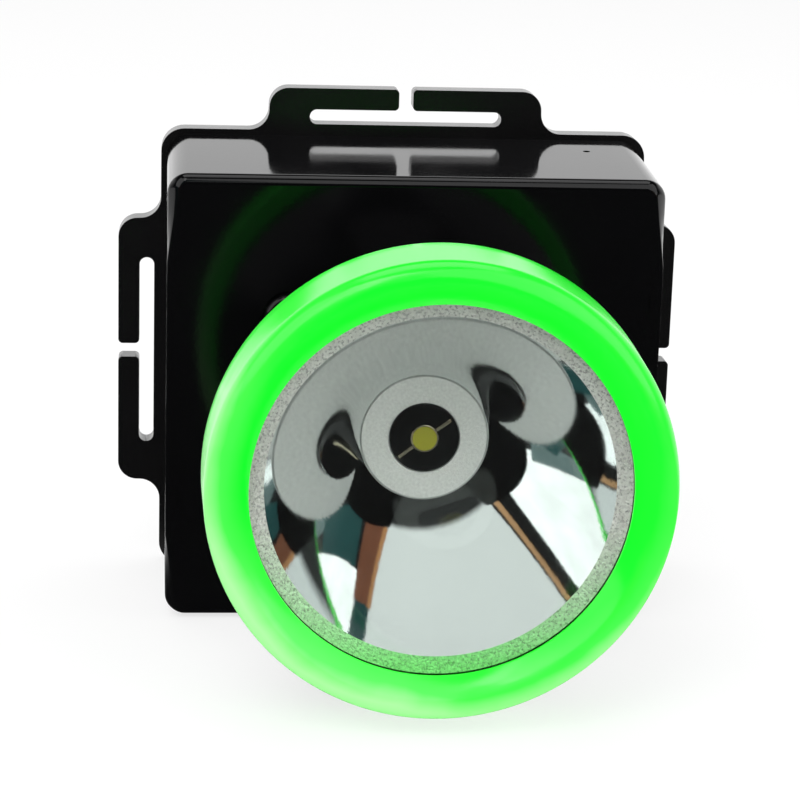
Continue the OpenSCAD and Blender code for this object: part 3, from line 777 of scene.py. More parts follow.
@dataclass
class BackCover:
    """The flange with its three strap lugs and its screw counterbores."""

    half_w: float = 38.0
    half_h: float = 35.5
    corner_r: float = 3.6
    back: float = 3.0
    front: float = 6.8
    edge: float = 0.5
    lug: Lug = field(default_factory=Lug)
    counterbore_r: float = 2.7
    right_lug_in: float = 0.9

    def outline(self) -> list[Point2]:
        """Returns the outline in X and Z, clockwise from the left lug."""
        corners: list[Corner] = [(-self.half_w - v, u, r) for u, v, r in self.lug.corners()]
        corners.append((-self.half_w, self.half_h, self.corner_r))
        corners += [(u, self.half_h + v, r) for u, v, r in self.lug.corners()]
        corners.append((self.half_w, self.half_h, self.corner_r))
        right = self.half_w - self.right_lug_in
        corners += [(right + v if v else self.half_w, -u, r) for u, v, r in self.lug.corners()]
        corners.append((self.half_w, -self.half_h, self.corner_r))
        corners.append((-self.half_w, -self.half_h, self.corner_r))
        return fillet(corners, 10)

    def build(self) -> bpy.types.Object:
        """Builds the cover.

        Returns:
            The finished piece.
        """
        bm = extrude_outline(self.outline(), self.back, self.front, self.edge, 4)
        piece = finish_mesh(bm, "back_cover_shaped", 40)
        cutters = []
        for low, high in screw_boxes("cover_screws"):
            middle = (low + high) / 2
            head = Vector((middle.x, -self.back - 0.1, middle.z))
            cutters.append(
                cylinder_cutter(
                    self.counterbore_r, 3.4, Matrix.Translation(head) @ Matrix.Rotation(math.pi / 2, 4, "X")
                )
            )
        cut(piece, cutters, 40)
        smooth_flats(piece)
        return dress(piece, Finishes.SATIN_ABS, Body.HOUSING, ["back_cover"])


def screw_boxes(node: str) -> list[tuple[Vector, Vector]]:
    """Finds the box of each separate solid of a CAD node, in millimetres."""
    bm = bmesh.new()
    bm.from_mesh(bpy.data.objects[node].data)
    bmesh.ops.remove_doubles(bm, verts=bm.verts, dist=1e-6)
    left = set(bm.verts)
    boxes = []
    while left:
        stack, points = [left.pop()], []
        while stack:
            vert = stack.pop()
            points.append(vert.co / MM)
            for edge in vert.link_edges:
                other = edge.other_vert(vert)
                if other in left:
                    left.discard(other)
                    stack.append(other)
        low = Vector([min(p[i] for p in points) for i in range(3)])
        high = Vector([max(p[i] for p in points) for i in range(3)])
        boxes.append((low, high))
    bm.free()
    return boxes


@dataclass
class BoxLoop:
    """One outline of the box, at a depth."""

    depth: float
    half_w: float
    half_h: float
    corner_r: float
    drop: float = 0.0
    bow: float = 0.0
    bow_run: float = 12.0

    def points(self, along: int = 24, round_steps: int = 8) -> list[Vector]:
        """Returns the outline's points, as many for every loop."""
        out: list[Vector] = []
        for sx, sz, start in ((1, 1, 90), (1, -1, 0), (-1, -1, -90), (-1, 1, -180)):
            centre = (sx * (self.half_w - self.corner_r), sz * (self.half_h - self.corner_r))
            here = arc(centre, self.corner_r, start, start - 90, round_steps)
            if out:
                last = out[-1].copy()
                for k in range(1, along):
                    t = k / along
                    out.append(last.lerp(Vector((here[0][0], 0, here[0][1])), t))
            out += [Vector((x, 0, z)) for x, z in here]
        first, last = out[0].copy(), out[-1].copy()
        out += [last.lerp(first, k / along) for k in range(1, along)]
        kink = self.half_h - self.bow_run
        for p in out:
            p.x *= 1 - self.bow * max(0.0, abs(p.z) - kink) / (self.bow_run * self.half_w)
            p.y = -self.depth
            p.z -= self.drop
        return out


@dataclass
class FrontShell:
    """The glossy box: drafted walls, top and bottom edges that roll over, and kinked side creases."""

    wall: float = 1.8
    crease: float = 0.3
    cutter_len: float = 8.0
    button_hole_r: float = 4.1
    socket_fit: float = 0.02
    pinhole_r: float = 0.55
    pinhole: Point2 = (27.5, 14.6)
    rear: BoxLoop = field(default_factory=lambda: BoxLoop(7.3, 37.15, 34.65, 3.5))
    half_w: float = 36.9
    half_h: float = 34.0
    corner_r: float = 3.0
    drop: float = 1.0
    face: float = 33.7
    edge_d: float = 1.6
    face_inset: float = 1.5
    face_r: float = 1.2
    corner_inset: float = 1.8
    roll_steps: int = 8

    def loops(self) -> list[BoxLoop]:
        """Returns the outlines from the rear, over the rolled edge, to the front face."""
        loops = [self.rear]
        for k in range(self.roll_steps + 1):
            angle = math.pi / 2 * k / self.roll_steps
            out, inward = math.sin(angle), 1 - math.cos(angle)
            loops.append(
                BoxLoop(
                    self.face - self.edge_d * (1 - out),
                    self.half_w,
                    self.half_h - self.face_inset * inward,
                    self.corner_r + (self.face_r - self.corner_r) * out,
                    self.drop,
                    self.corner_inset * out,
                )
            )
        return loops

    def build(self) -> bpy.types.Object:
        """Builds the shell.

        Returns:
            The finished piece.
        """
        bm = bmesh.new()
        rings = []
        for loop in self.loops():
            verts = [bm.verts.new(p) for p in loop.points()]
            rings.append([bm.edges.new(pair) for pair in zip(verts, verts[1:] + verts[:1])])
        for low, high in zip(rings, rings[1:]):
            bmesh.ops.bridge_loops(bm, edges=low + high)
        face = bmesh.ops.contextual_create(bm, geom=rings[-1])["faces"][0]
        bmesh.ops.recalc_face_normals(bm, faces=bm.faces)
        sides = [e for e in face.edges if e.calc_face_angle(0) > math.radians(20)]
        bevel_edges(bm, sides, self.crease, 3)
        piece = finish_mesh(bm, "front_shell_shaped", 60)
        wall = piece.modifiers.new("wall", "SOLIDIFY")
        wall.thickness = self.wall * MM
        wall.offset = -1
        wall.use_even_offset = True
        wall.use_rim = True
        apply_modifiers(piece)
        cut(piece, self.cutters(), 40)
        smooth_flats(piece)
        return dress(piece, Finishes.GLOSS_ABS, Body.HOUSING, ["front_shell"])

    def cutters(self) -> list[bpy.types.Object]:
        """Returns the cutters of the pinhole, the button's hole and the charging socket's hole."""
        button_low, button_high = box_mm("button_cap")
        button = (button_low + button_high) / 2
        socket_low, socket_high = box_mm("charge_socket")
        socket = (socket_low + socket_high) / 2
        socket_r = (socket_high.z - socket_low.z) / 2 + self.socket_fit
        x, depth = self.pinhole
        forward = Matrix.Rotation(math.pi / 2, 4, "X")
        sideways = Matrix.Rotation(math.pi / 2, 4, "Y")
        top = self.rear.half_h
        right = self.rear.half_w
        deep = self.cutter_len
        return [
            cylinder_cutter(self.pinhole_r, deep, Matrix.Translation((x, -depth, top)), 32),
            cylinder_cutter(
                self.button_hole_r, deep, Matrix.Translation((button.x, -self.face, button.z)) @ forward
            ),
            cylinder_cutter(socket_r, deep, Matrix.Translation((right, socket.y, socket.z)) @ sideways),
        ]


@dataclass
class ForeheadPad:
    """The foam pad, a little crowned by its cut edge."""

    corner_r: float = 7.0
    edge: float = 1.1
    crown_steps: int = 4
    crown_inset: float = 1.3
    crown_rise: float = 0.06

    def build(self) -> bpy.types.Object:
        """Builds the pad.

        Returns:
            The finished piece.
        """
        low, high = box_mm("forehead_pad")
        inset = self.crown_rise * self.crown_steps
        corners = [(low.x, low.z), (low.x, high.z), (high.x, high.z), (high.x, low.z)]
        outline = fillet([(x, z, self.corner_r) for x, z in corners], 12)
        bm = extrude_outline(outline, -high.y + inset, -low.y, self.edge, 4)
        rear = max(bm.faces, key=lambda f: f.calc_center_median().y)
        for _ in range(self.crown_steps):
            bmesh.ops.inset_region(bm, faces=[rear], thickness=self.crown_inset, depth=self.crown_rise)
        piece = finish_mesh(bm, "forehead_pad_foam", 70)
        dress(piece, Finishes.EVA_FOAM, Body.HOUSING, ["forehead_pad"])
        return piece


# ---------------------------------------------------------------- the head


@dataclass
class FocusRing:
    """The green ring, turned in one piece with its crown and its inner lip."""

    side_steps: int = 4
    curve_steps: int = 20
    edge: float = 0.45
    front_r: float = 31.8
    crown_r: float = 29.0
    crown_run: float = 2.6
    lip_r: float = 25.8
    lip_back: float = 2.4
    lip_curve: float = 1.5
    lip_edge: float = 0.5
    bore_r: float = 29.0
    pocket_r: float = 27.7
    pocket_back: float = 76.78

    def build(self, axis_z: float) -> bpy.types.Object:
        """Builds the ring.

        Args:
            axis_z: Height of the head's axis.

        Returns:
            The finished piece.
        """
        low, high = box_mm("bezel")
        crown, back = -low.y, -high.y
        back_r = (high.x - low.x) / 2
        steps = range(self.curve_steps + 1)
        profile = [(self.bore_r, back)]
        profile += arc((back_r - self.edge, back + self.edge), self.edge, -90, 0)
        rise = [k / self.side_steps for k in range(1, self.side_steps)]
        start, end = back + self.edge, crown - self.crown_run
        profile += [(back_r + (self.front_r - back_r) * t, start + (end - start) * t) for t in rise]
        for k in steps:
            angle = math.pi / 2 * k / self.curve_steps
            profile.append(
                (
                    self.crown_r + (self.front_r - self.crown_r) * math.cos(angle),
                    crown - self.crown_run * (1 - math.sin(angle)),
                )
            )
        for k in steps[1:]:
            t = k / self.curve_steps
            radius = self.crown_r - (self.crown_r - self.lip_r) * t
            profile.append((radius, crown - self.lip_back * t**self.lip_curve))
        pocket_front = crown - self.lip_back - self.lip_edge
        profile += [
            (self.lip_r, pocket_front),
            (self.pocket_r, pocket_front),
            (self.pocket_r, self.pocket_back),
            (self.bore_r, self.pocket_back),
        ]
        piece = turned("bezel_green", profile, axis_z, 256, 38)
        return dress(piece, Finishes.GREEN_ABS, Body.BEZEL, ["bezel"])


@dataclass
class Reflector:
    """The silvered bowl with its pebbled rim, whose grains are real facets."""

    throat_r: float = 9.12
    window_r: float = 23.7
    rim_edge: float = 77.78
    four_focal: float = 18.72
    wall: float = 1.2
    seat_r: float = 26.3
    rim_r: float = 25.8
    rim_front: float = 78.78
    rim_step: float = 78.18
    flange_r: float = 27.6
    rim_back: float = 76.88
    bowl_steps: int = 44
    pebble_steps: int = 11
    around: int = 720
    pebble_mm: float = 0.04

    def depth(self, radius: float) -> float:
        """Returns the bowl's depth at a radius."""
        return self.rim_edge - (self.window_r**2 - radius**2) / self.four_focal

    def build(self, axis_z: float) -> bpy.types.Object:
        """Builds the reflector.

        Args:
            axis_z: Height of the head's axis.

        Returns:
            The finished piece.
        """
        neck_back = -box_mm("reflector")[1].y
        span = self.window_r - self.throat_r
        inner = [self.throat_r + span * k / self.bowl_steps for k in range(self.bowl_steps + 1)]
        profile = [(r, self.depth(r)) for r in inner]
        for k in range(1, self.pebble_steps + 1):
            t = k / self.pebble_steps
            profile.append(
                (
                    self.window_r + (self.rim_r - self.window_r) * t,
                    self.rim_edge + (self.rim_front - self.rim_edge) * t,
                )
            )
        profile += [(self.seat_r, self.rim_front), (self.seat_r, self.rim_step)]
        profile += [(self.flange_r, self.rim_step), (self.flange_r, self.rim_back)]
        back_r = math.sqrt(self.window_r**2 - (self.rim_edge - self.rim_back) * self.four_focal)
        outer = [back_r + (self.throat_r - back_r) * k / 14 for k in range(15)]
        profile += [(r + self.wall, self.depth(r)) for r in outer]
        profile += [(self.throat_r + self.wall, neck_back), (self.throat_r, neck_back)]
        bm = spin_profile(profile, axis_z, self.around)
        self.roughen(bm, axis_z)
        piece = finish_mesh(bm, "reflector_silvered", 35)
        piece.data.materials.append(Finishes.get(Finishes.MIRROR))
        piece.data.materials.append(Finishes.get(Finishes.PEBBLED))
        for polygon in piece.data.polygons:
            if self.on_rim(polygon.center / MM, axis_z):
                polygon.material_index = 1
                polygon.use_smooth = False
        return dress(piece, Finishes.MIRROR, Body.FOCUS, ["reflector"])

    def on_rim(self, point: Vector, axis_z: float) -> bool:
        """Tells whether a point in millimetres lies on the pebbled rim."""
        radius = math.hypot(point.x, point.z - axis_z)
        slope = self.rim_edge + (radius - self.window_r) * (self.rim_front - self.rim_edge) / (
            self.rim_r - self.window_r
        )
        return self.window_r < radius < self.rim_r and abs(-point.y - slope) < 0.2

    def roughen(self, bm: bmesh.types.BMesh, axis_z: float) -> None:
        """Lifts and sinks the rim's points to make its pebbles."""
        noise.seed_set(7)
        for vert in bm.verts:
            radius = math.hypot(vert.co.x, vert.co.z - axis_z)
            if self.window_r + 0.05 < radius < self.rim_r - 0.05 and self.on_rim(vert.co, axis_z):
                vert.co.y += self.pebble_mm * (noise.random() - 0.5) * 2


@dataclass
class LightSource:
    """The silver washer, the dark LED body, its emitter, silver ring and two contacts."""

    washer_r: float = 9.05
    hole_r: float = 5.1
    washer_front: float = 52.4
    washer_back: float = 51.9
    body_r: float = 5.0
    body_front: float = 52.8
    emitter_r: float = 1.75
    ring_r: float = 2.0
    chip_t: float = 0.15
    contact_start: float = 2.1
    contact: tuple[float, float] = (2.5, 0.5)
    slant_deg: float = 37.0

    def build(self, axis_z: float) -> list[bpy.types.Object]:
        """Builds the washer, body, emitter and contacts.

        Args:
            axis_z: Height of the head's axis.

        Returns:
            The finished pieces.
        """
        edge = 0.12
        washer = [(self.hole_r, self.washer_back)]
        washer += [(self.washer_r, self.washer_back)]
        washer += arc((self.washer_r - edge, self.washer_front - edge), edge, 0, 90, 3)
        washer += arc((self.hole_r + edge, self.washer_front - edge), edge, 90, 180, 3)
        rim = 0.35
        body = [(0.0, self.washer_back), (self.body_r, self.washer_back)]
        body += arc((self.body_r - rim, self.body_front - rim), rim, 0, 90, 5)
        body += [(self.body_r - 0.9, self.body_front), (0.0, self.body_front)]
        front = self.body_front + self.chip_t
        chip = [(0.0, self.body_front), (self.emitter_r, self.body_front)]
        chip += [(self.emitter_r, front - 0.06), (self.emitter_r * 0.6, front - 0.01), (0.0, front)]
        return [
            dress(
                turned("led_washer_silver", washer, axis_z, 128), Finishes.BLASTED, Body.HEAD,
                ["led_washer"],
            ),
            dress(
                turned("led_body_dark", body, axis_z, 96), Finishes.LED_EPOXY, Body.HEAD,
                ["led_body"],
            ),
            dress(
                turned("led_emitter_chip", chip, axis_z, 64), Finishes.PHOSPHOR, Body.HEAD,
                ["led_emitter"],
            ),
            self.contacts(axis_z),
        ]

    def contacts(self, axis_z: float) -> bpy.types.Object:
        """Builds the silver ring and the two contacts as one piece."""
        front = self.body_front + self.chip_t
        ring = [
            (self.emitter_r, self.body_front),
            (self.ring_r, self.body_front),
            (self.ring_r, front - 0.05),
            (self.ring_r - 0.08, front),
            (self.emitter_r + 0.05, front),
        ]
        bm = spin_profile(ring, axis_z, 64)
        length, width = self.contact
        for turn in (0.0, 180.0):
            place = (
                Matrix.Translation((0, -self.body_front - self.chip_t / 2, axis_z))
                @ Matrix.Rotation(-math.radians(self.slant_deg + turn), 4, "Y")
                @ Matrix.Translation((self.contact_start + length / 2, 0, 0))
                @ Matrix.Diagonal((length, self.chip_t, width, 1))
            )
            made = bmesh.ops.create_cube(bm, size=1, matrix=place)["verts"]
            edges = {e for v in made for e in v.link_edges}
            bevel_edges(bm, list(edges), 0.05, 2)
        piece = finish_mesh(bm, "led_contacts_gilt", 45)
        return dress(piece, Finishes.GILT, Body.HEAD, ["led_contacts"])


@dataclass
class Lens:
    """The clear front lens."""

    edge: float = 0.15

    def build(self, axis_z: float) -> bpy.types.Object:
        """Builds the lens.

        Args:
            axis_z: Height of the head's axis.

        Returns:
            The finished piece.
        """
        low, high = box_mm("lens")
        radius, front, back, e = (high.x - low.x) / 2, -low.y, -high.y, self.edge
        profile = [(0.0, back), (radius - e, back), (radius, back + e)]
        profile += [(radius, front - e), (radius - e, front), (0.0, front)]
        piece = turned("lens_clear_disc", profile, axis_z, 128)
        return dress(piece, Finishes.LENS, Body.FOCUS, ["lens"])


# ---------------------------------------------------------------- pieces taken from the CAD


@dataclass(frozen=True)
class Refined:
    """A CAD node that is copied, merged, given rounded edges and a finish."""

    node: str
    name: str
    finish: Moulded | Metal
    body: Body
    slot: str
    edge: float = 0.15
    segments: int = 2
    smooth_deg: float = 35.0

    def build(self) -> bpy.types.Object:
        """Builds the piece.

        Returns:
            The finished piece.
        """
        bm = bmesh.new()
        bm.from_mesh(bpy.data.objects[self.node].data)
        bmesh.ops.scale(bm, vec=(1 / MM, 1 / MM, 1 / MM), verts=bm.verts)
        bmesh.ops.remove_doubles(bm, verts=bm.verts, dist=1e-3)
        bmesh.ops.dissolve_limit(
            bm, angle_limit=math.radians(0.5), verts=bm.verts, edges=bm.edges, delimit={"NORMAL"}
        )
        limit = math.radians(self.smooth_deg)
        sharp = [e for e in bm.edges if len(e.link_faces) == 2 and e.calc_face_angle(0) > limit]
        bevel_edges(bm, sharp, self.edge, self.segments)
        piece = finish_mesh(bm, self.name, self.smooth_deg)
        smooth_flats(piece)
        return dress(piece, self.finish, self.body, [self.node])


REFINED = (
    Refined("lamp_cup", "lamp_cup_moulded", Finishes.SATIN_ABS, Body.HEAD, "black_cup", 0.3, 3, 25.0),
    Refined("retaining_ring", "retaining_ring_black", Finishes.NYLON, Body.BEZEL, "black_cup", 0.1),
    Refined("yoke", "yoke_moulded", Finishes.SATIN_ABS, Body.HOUSING, "black_cover", 0.35, 3),
    Refined("button_cap", "button_cap_black", Finishes.GLOSS_ABS, Body.BUTTON, "black_button", 0.1),
    Refined("cover_screws", "cover_screws_steel", Finishes.ZINC_STEEL, Body.HOUSING, "screw_steel"),
    Refined("yoke_screws", "yoke_screws_steel", Finishes.ZINC_STEEL, Body.HOUSING, "screw_steel", 0.1),
    Refined("board_screws", "board_screws_steel", Finishes.ZINC_STEEL, Body.HOUSING, "screw_steel", 0.08),
    Refined("pivot_pins", "pivot_pins_steel", Finishes.ZINC_STEEL, Body.HOUSING, "screw_steel"),
    Refined(
        "friction_washers", "friction_washers_fibre", Finishes.FIBRE, Body.HOUSING, "friction_fibre", 0.08
    ),
    Refined("charge_socket", "charge_socket_black", Finishes.NYLON, Body.HOUSING, "socket_black", 0.2),
    Refined("socket_pin", "socket_pin_nickel", Finishes.NICKEL, Body.HOUSING, "pin_nickel", 0.2, 3),
    Refined("heat_sink", "heat_sink_turned", Finishes.ALUMINIUM, Body.HEAD, "sink_aluminium", 0.2),
)

# inner pieces that stay as they are in the CAD, with their finishes
KEPT = {
    "cover_seal": Finishes.NITRILE,
    "cup_seal": Finishes.NITRILE,
    "lens_seal": Finishes.NITRILE,
    "battery": Finishes.CASE_ABS,
    "battery_terminals": Finishes.BRASS,
    "positive_lead": Finishes.RED_PVC,
    "negative_lead": Finishes.BLACK_PVC,
    "socket_leads": Finishes.RED_PVC,
    "lamp_lead": Finishes.BLACK_PVC,
    "head_lead": Finishes.BLACK_PVC,
    "circuit_board": Finishes.SOLDER_MASK,
    "driver_parts": Finishes.EPOXY,
    "switch_body": Finishes.EPOXY,
    "charge_indicator": Finishes.RED_EPOXY,
    "led_board": Finishes.ALUMINIUM,
}


def finish_kept() -> None:
    """Gives the CAD nodes that stay their finishes."""
    for node, finish in KEPT.items():
        mesh = bpy.data.objects[node].data
        mesh.materials.clear()
        mesh.materials.append(Finishes.get(finish))
        LOG.info("%s: kept from the CAD in %s", node, finish.name)


# ---------------------------------------------------------------- studio


@dataclass(frozen=True)
class Card:
    """A flat card that only reflections see, placed by its direction from the lamp."""

    name: str
    azimuth: float
    elevation: float
    width_deg: float
    height_deg: float
    colour: str
    strength: float = 1.0
    distance: float = 1.0
    is_round: bool = False

    def build(self, target: Vector) -> bpy.types.Object:
        """Builds the card, facing a target.

        Args:
            target: The point it faces, in metres.

        Returns:
            The card.
        """
        side, rise = math.radians(self.azimuth), math.radians(self.elevation)
        away = Vector((math.sin(side) * math.cos(rise), -math.cos(side) * math.cos(rise), math.sin(rise)))
        size = [self.distance * math.tan(math.radians(a / 2)) for a in (self.width_deg, self.height_deg)]
        place = (
            Matrix.Translation(target + away * self.distance)
            @ (-away).to_track_quat("Z", "Y").to_matrix().to_4x4()
            @ Matrix.Diagonal((size[0], size[1], 1, 1))
        )
        bm = bmesh.new()
        if self.is_round:
            bmesh.ops.create_circle(bm, cap_ends=True, segments=64, radius=1, matrix=place)
        else:
            bmesh.ops.create_grid(bm, x_segments=1, y_segments=1, size=1, matrix=place)
        mesh = bpy.data.meshes.new(self.name)
        bm.to_mesh(mesh)
        bm.free()
        card = bpy.data.objects.new(self.name, mesh)
        bpy.context.scene.collection.objects.link(card)
        material = bpy.data.materials.new(f"card_{self.name}")
        material.use_nodes = True
        nodes = NodeBuilder(material.node_tree)
        where = nodes.add("ShaderNodeTexCoord").outputs["Object"]
        cloud = nodes.add("ShaderNodeTexNoise", {"Vector": where, "Scale": 5.0})
        base = linear(self.colour)
        dark = tuple(c * 0.85 for c in base[:3]) + (1.0,)
        shade = nodes.add(
            "ShaderNodeValToRGB", {"Fac": cloud.outputs["Fac"]}, stops=[(0.35, dark), (0.65, base)]
        )
        glow = nodes.add(
            "ShaderNodeEmission", {"Color": shade.outputs["Color"], "Strength": self.strength}
        )
        nodes.add("ShaderNodeOutputMaterial", {"Surface": glow.outputs[0]})
        mesh.materials.append(material)
        card.visible_camera = False
        card.visible_shadow = False
        card.visible_diffuse = False
        return card


def mirror_mask(nodes: NodeBuilder) -> tuple[bpy.types.Node, bpy.types.NodeSocket]:
    """Finds the rays that come from a mirror, through a lens or not.

    Args:
        nodes: The tree's builder.

    Returns:
        The light path node, and a value of 1 for such rays.
    """
    path = nodes.add("ShaderNodeLightPath")
    once = nodes.add("ShaderNodeMath", {0: path.outputs["Glossy Depth"], 1: 1.0}, operation="MINIMUM")
    plain = nodes.add("ShaderNodeMath", {0: 1.0, 1: path.outputs["Is Diffuse Ray"]}, operation="SUBTRACT")
    both = nodes.add("ShaderNodeMath", {0: once.outputs[0], 1: plain.outputs[0]}, operation="MULTIPLY")
    return path, both.outputs[0]


@dataclass
class Studio:
    """The camera, the pale floor, the soft lights and what the gloss reflects.

    camera_edge is the cosine, from the lamp, of the camera's dark outline: its far and near side.
    """

    dark_sky: float = 0.009
    camera_edge: tuple[float, float] = (0.934, 0.944)
    camera_mm: tuple[float, float, float] = (-35.46, -409.11, 99.27)
    yaw_deg: float = 5.10
    pitch_deg: float = 14.86
    roll_deg: float = 1.75
    focal_px: float = 2600.0
    frame_px: float = 800.0
    floor_mm: float = -35.5

    def build(self) -> None:
        """Builds the whole studio."""
        self.camera()
        self.world()
        target = Vector((0, -0.06, 0))
        stage = [self.floor()]
        stage += [card.build(target) for card in CARDS]
        self.light("key_softbox", (-0.5, -0.9, 1.1), (0.8, 0.8), 10.0, target)
        self.light("fill_softbox", (0.9, -0.7, 0.5), (0.8, 0.8), 5.0, target)
        self.light("top_softbox", (0.0, 0.2, 1.2), (1.0, 0.8), 5.0, target)
        bpy.context.scene.view_settings.view_transform = "Standard"

    def camera(self) -> None:
        """Places the camera from its yaw, pitch and roll."""
        yaw, pitch, roll = (math.radians(a) for a in (self.yaw_deg, self.pitch_deg, self.roll_deg))
        forward = Vector(
            (math.sin(yaw) * math.cos(pitch), math.cos(yaw) * math.cos(pitch), -math.sin(pitch))
        )
        level = Vector((math.cos(yaw), -math.sin(yaw), 0))
        up = level.cross(forward)
        right = level * math.cos(roll) + up * math.sin(roll)
        up = up * math.cos(roll) - level * math.sin(roll)
        data = bpy.data.cameras.new("camera")
        data.sensor_width = 36.0
        data.lens = self.focal_px * 36.0 / self.frame_px
        data.clip_start, data.clip_end = 0.01, 20.0
        camera = bpy.data.objects.new("camera", data)
        turn = Matrix((right, up, -forward)).transposed().to_4x4()
        camera.matrix_world = Matrix.Translation(Vector(self.camera_mm) * MM) @ turn
        bpy.context.scene.collection.objects.link(camera)
        bpy.context.scene.camera = camera

    def world(self) -> None:
        """Makes the sky: white for the camera, and for reflections white only low at the back."""
        world = bpy.data.worlds.new("studio")
        world.use_nodes = True
        bpy.context.scene.world = world
        nodes = NodeBuilder(world.node_tree)
        path, mirrored = mirror_mask(nodes)
        where = nodes.add("ShaderNodeTexCoord").outputs["Generated"]
        axes = nodes.add("ShaderNodeSeparateXYZ", {0: where})
        back = nodes.add("ShaderNodeMapRange", {"Value": axes.outputs["Y"], 1: 0.05, 2: 0.4})
        low = nodes.add(
            "ShaderNodeMapRange", {"Value": axes.outputs["Z"], 1: 0.38, 2: 0.58, 3: 1.0, 4: 0.0}
        )
        wall = nodes.add(
            "ShaderNodeMath", {0: back.outputs[0], 1: low.outputs[0]}, operation="MULTIPLY"
        )
        seen = nodes.add(
            "ShaderNodeValToRGB",
            {"Fac": wall.outputs[0]},
            stops=[(0.0, grey(self.dark_sky)), (1.0, grey(1.0))],
        )
        gloss = nodes.add("ShaderNodeBackground", {"Color": seen.outputs["Color"], "Strength": 1.35})
        plain = nodes.add("ShaderNodeBackground", {"Color": grey(0.6), "Strength": 1.0})
        white = nodes.add("ShaderNodeBackground", {"Color": grey(1.0), "Strength": 1.0})
        direct = nodes.add(
            "ShaderNodeMath",
            {0: path.outputs["Is Camera Ray"], 1: path.outputs["Is Transmission Ray"]},
            operation="MAXIMUM",
        )
        first = nodes.add(
            "ShaderNodeMixShader", {0: direct.outputs[0], 1: plain.outputs[0], 2: white.outputs[0]}
        )
        last = nodes.add("ShaderNodeMixShader", {0: mirrored, 1: first.outputs[0], 2: gloss.outputs[0]})
        nodes.add("ShaderNodeOutputWorld", {"Surface": last.outputs[0]})

    def floor(self) -> bpy.types.Object:
        """Makes the pale floor, which keeps a soft shadow."""
        bm = bmesh.new()
        place = Matrix.Translation((0, 0, self.floor_mm * MM))
        bmesh.ops.create_grid(bm, x_segments=1, y_segments=1, size=3.0, matrix=place)
        mesh = bpy.data.meshes.new("floor")
        bm.to_mesh(mesh)
        bm.free()
        floor = bpy.data.objects.new("floor", mesh)
        bpy.context.scene.collection.objects.link(floor)
        mesh.materials.append(self.paper())
        return floor

    def paper(self) -> bpy.types.Material:
        """Makes the floor's white paper, with its own level for what a mirror sees of it.

        Returns:
            The finished material.
        """
        material = bpy.data.materials.new("paper_white")
        material.use_nodes = True
        nodes = NodeBuilder(material.node_tree)
        where = nodes.add("ShaderNodeTexCoord").outputs["Object"]
        cloud = nodes.add("ShaderNodeTexNoise", {"Vector": where, "Scale": 2.0})
        mottled = nodes.add(
            "ShaderNodeValToRGB",
            {"Fac": cloud.outputs["Fac"]},
            stops=[(0.0, grey(0.98)), (1.0, grey(1.0))],
        )
        shade = mottled.outputs["Color"]
        paper = nodes.add("ShaderNodeBsdfDiffuse", {"Color": shade})
        glow = nodes.add("ShaderNodeEmission", {"Color": shade, "Strength": 1.0})
        mix = nodes.add("ShaderNodeMixShader", {0: 0.75, 1: paper.outputs[0], 2: glow.outputs[0]})
        path, mirrored = mirror_mask(nodes)
        place = nodes.add("ShaderNodeSeparateXYZ", {0: where})
        away = nodes.add("ShaderNodeVectorMath", {0: where, 1: (0.0, -0.06, 0.0)}, operation="SUBTRACT")
        unit = nodes.add("ShaderNodeVectorMath", {0: away.outputs[0]}, operation="NORMALIZE")
        aim = nodes.add(
            "ShaderNodeVectorMath", {0: unit.outputs[0], 1: CAMERA_AIM}, operation="DOT_PRODUCT"
        )
        # the dark camera stands on the table, so a mirror sees no table inside its outline
        edge_low, edge_high = self.camera_edge
        clear = nodes.add(
            "ShaderNodeMapRange",
            {"Value": aim.outputs["Value"], 1: edge_low, 2: edge_high, 3: 1.1, 4: 0.02},
        )
        behind = nodes.add(
            "ShaderNodeMapRange", {"Value": place.outputs["Y"], 1: -0.03, 2: 0.03, 3: 0.04, 4: 1.2}
        )
        through = nodes.add(
            "ShaderNodeMath", {0: path.outputs["Transmission Depth"], 1: 1.0}, operation="MINIMUM"
        )
        # the bowl turns a ray round with two bounces, and the lens alone turns one back with one
        turned_round = nodes.add(
            "ShaderNodeMath", {0: path.outputs["Glossy Depth"], 1: 1.0}, operation="SUBTRACT", use_clamp=True
        )
        bowl_ray = nodes.add(
            "ShaderNodeMath", {0: through.outputs[0], 1: turned_round.outputs[0]}, operation="MULTIPLY"
        )
        inside = nodes.add(
            "ShaderNodeMath", {0: bowl_ray.outputs[0], 1: clear.outputs[0]}, operation="MULTIPLY"
        )
        level = nodes.add(
            "ShaderNodeMath", {0: behind.outputs[0], 1: inside.outputs[0]}, operation="MAXIMUM"
        )
        far = nodes.add("ShaderNodeEmission", {"Color": shade, "Strength": level.outputs[0]})
        bounced = nodes.add(
            "ShaderNodeMixShader",
            {0: path.outputs["Is Diffuse Ray"], 1: mix.outputs[0], 2: paper.outputs[0]},
        )
        last = nodes.add("ShaderNodeMixShader", {0: mirrored, 1: bounced.outputs[0], 2: far.outputs[0]})
        nodes.add("ShaderNodeOutputMaterial", {"Surface": last.outputs[0]})
        return material

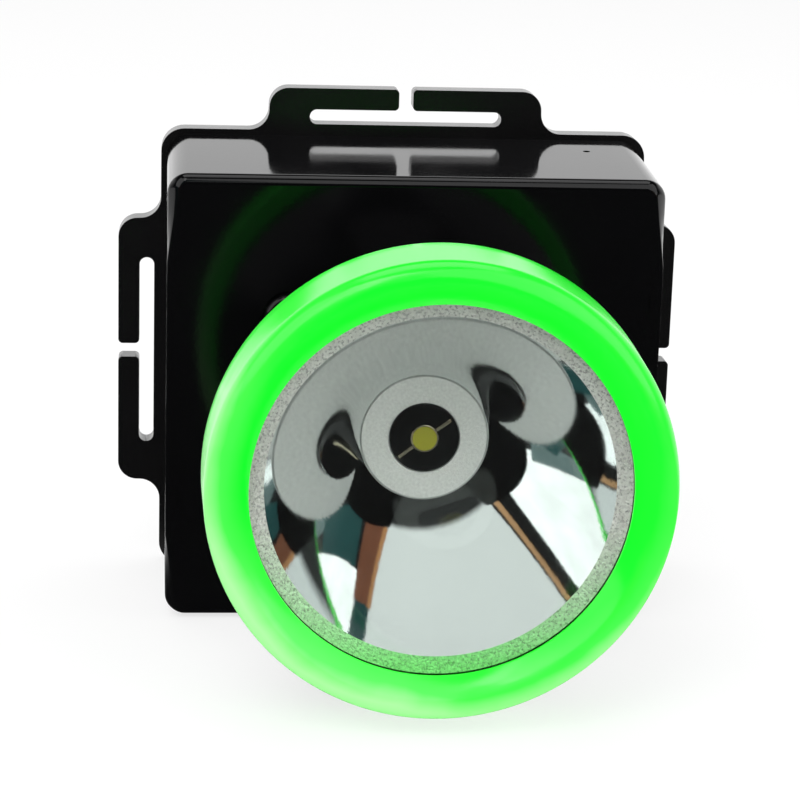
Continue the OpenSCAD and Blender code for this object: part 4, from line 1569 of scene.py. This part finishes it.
    def light(
        self, name: str, place: tuple[float, float, float], size: tuple[float, float],
        watts: float, target: Vector,
    ) -> None:
        """Adds one soft area light that faces a target."""
        data = bpy.data.lights.new(name, "AREA")
        data.shape = "RECTANGLE"
        data.size, data.size_y = size
        data.energy = watts
        lamp = bpy.data.objects.new(name, data)
        lamp.location = place
        lamp.rotation_euler = (target - Vector(place)).to_track_quat("-Z", "Y").to_euler()
        bpy.context.scene.collection.objects.link(lamp)
        lamp.visible_transmission = False


# direction from the lamp to the camera's middle
CAMERA_AIM = (-0.026, -0.992, 0.122)

# what a mirror bowl sees from a table: softboxes, a wall, the table's far edge and the camera
CARDS = (
    Card("softbox_right", 40.0, 41.0, 76.0, 58.0, "FFFFFF", 1.9),
    Card("softbox_left", -62.0, 34.0, 48.0, 48.0, "FFFFFF", 1.9),
    Card("wall_teal", -26.5, 28.0, 23.0, 27.0, "2F5C5C", 0.9, 1.1),
    Card("ceiling_grey", -5.0, 42.0, 20.0, 24.0, "7F9393", 1.0, 1.15),
    Card("desk_edge_left", -34.0, 4.0, 26.0, 16.0, "86543F", 1.1),
    Card("desk_line_left", -34.0, -0.6, 26.0, 2.6, "CC9060", 1.1, 0.99),
    Card("desk_edge_right", 38.0, 2.5, 50.0, 3.0, "D8A67A", 1.1),
    Card("screen_left", -66.0, 5.0, 40.0, 12.0, "2F5A5A", 0.8, 1.05),
    Card("camera_black", -1.5, 7.0, 42.0, 42.0, "060707", 0.3, 0.8, True),
)


# ---------------------------------------------------------------- build


def main() -> None:
    """Builds the lamp's looks on its CAD frame."""
    logging.basicConfig(level=logging.INFO, format="%(name)s: %(message)s")
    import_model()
    lens_low, lens_high = box_mm("lens")
    axis_z = (lens_low.z + lens_high.z) / 2
    BackCover().build()
    FrontShell().build()
    ForeheadPad().build()
    FocusRing().build(axis_z)
    Reflector().build(axis_z)
    Lens().build(axis_z)
    LightSource().build(axis_z)
    for refined in REFINED:
        refined.build()
    finish_kept()
    Studio().build()


if __name__ == "__main__":
    main()
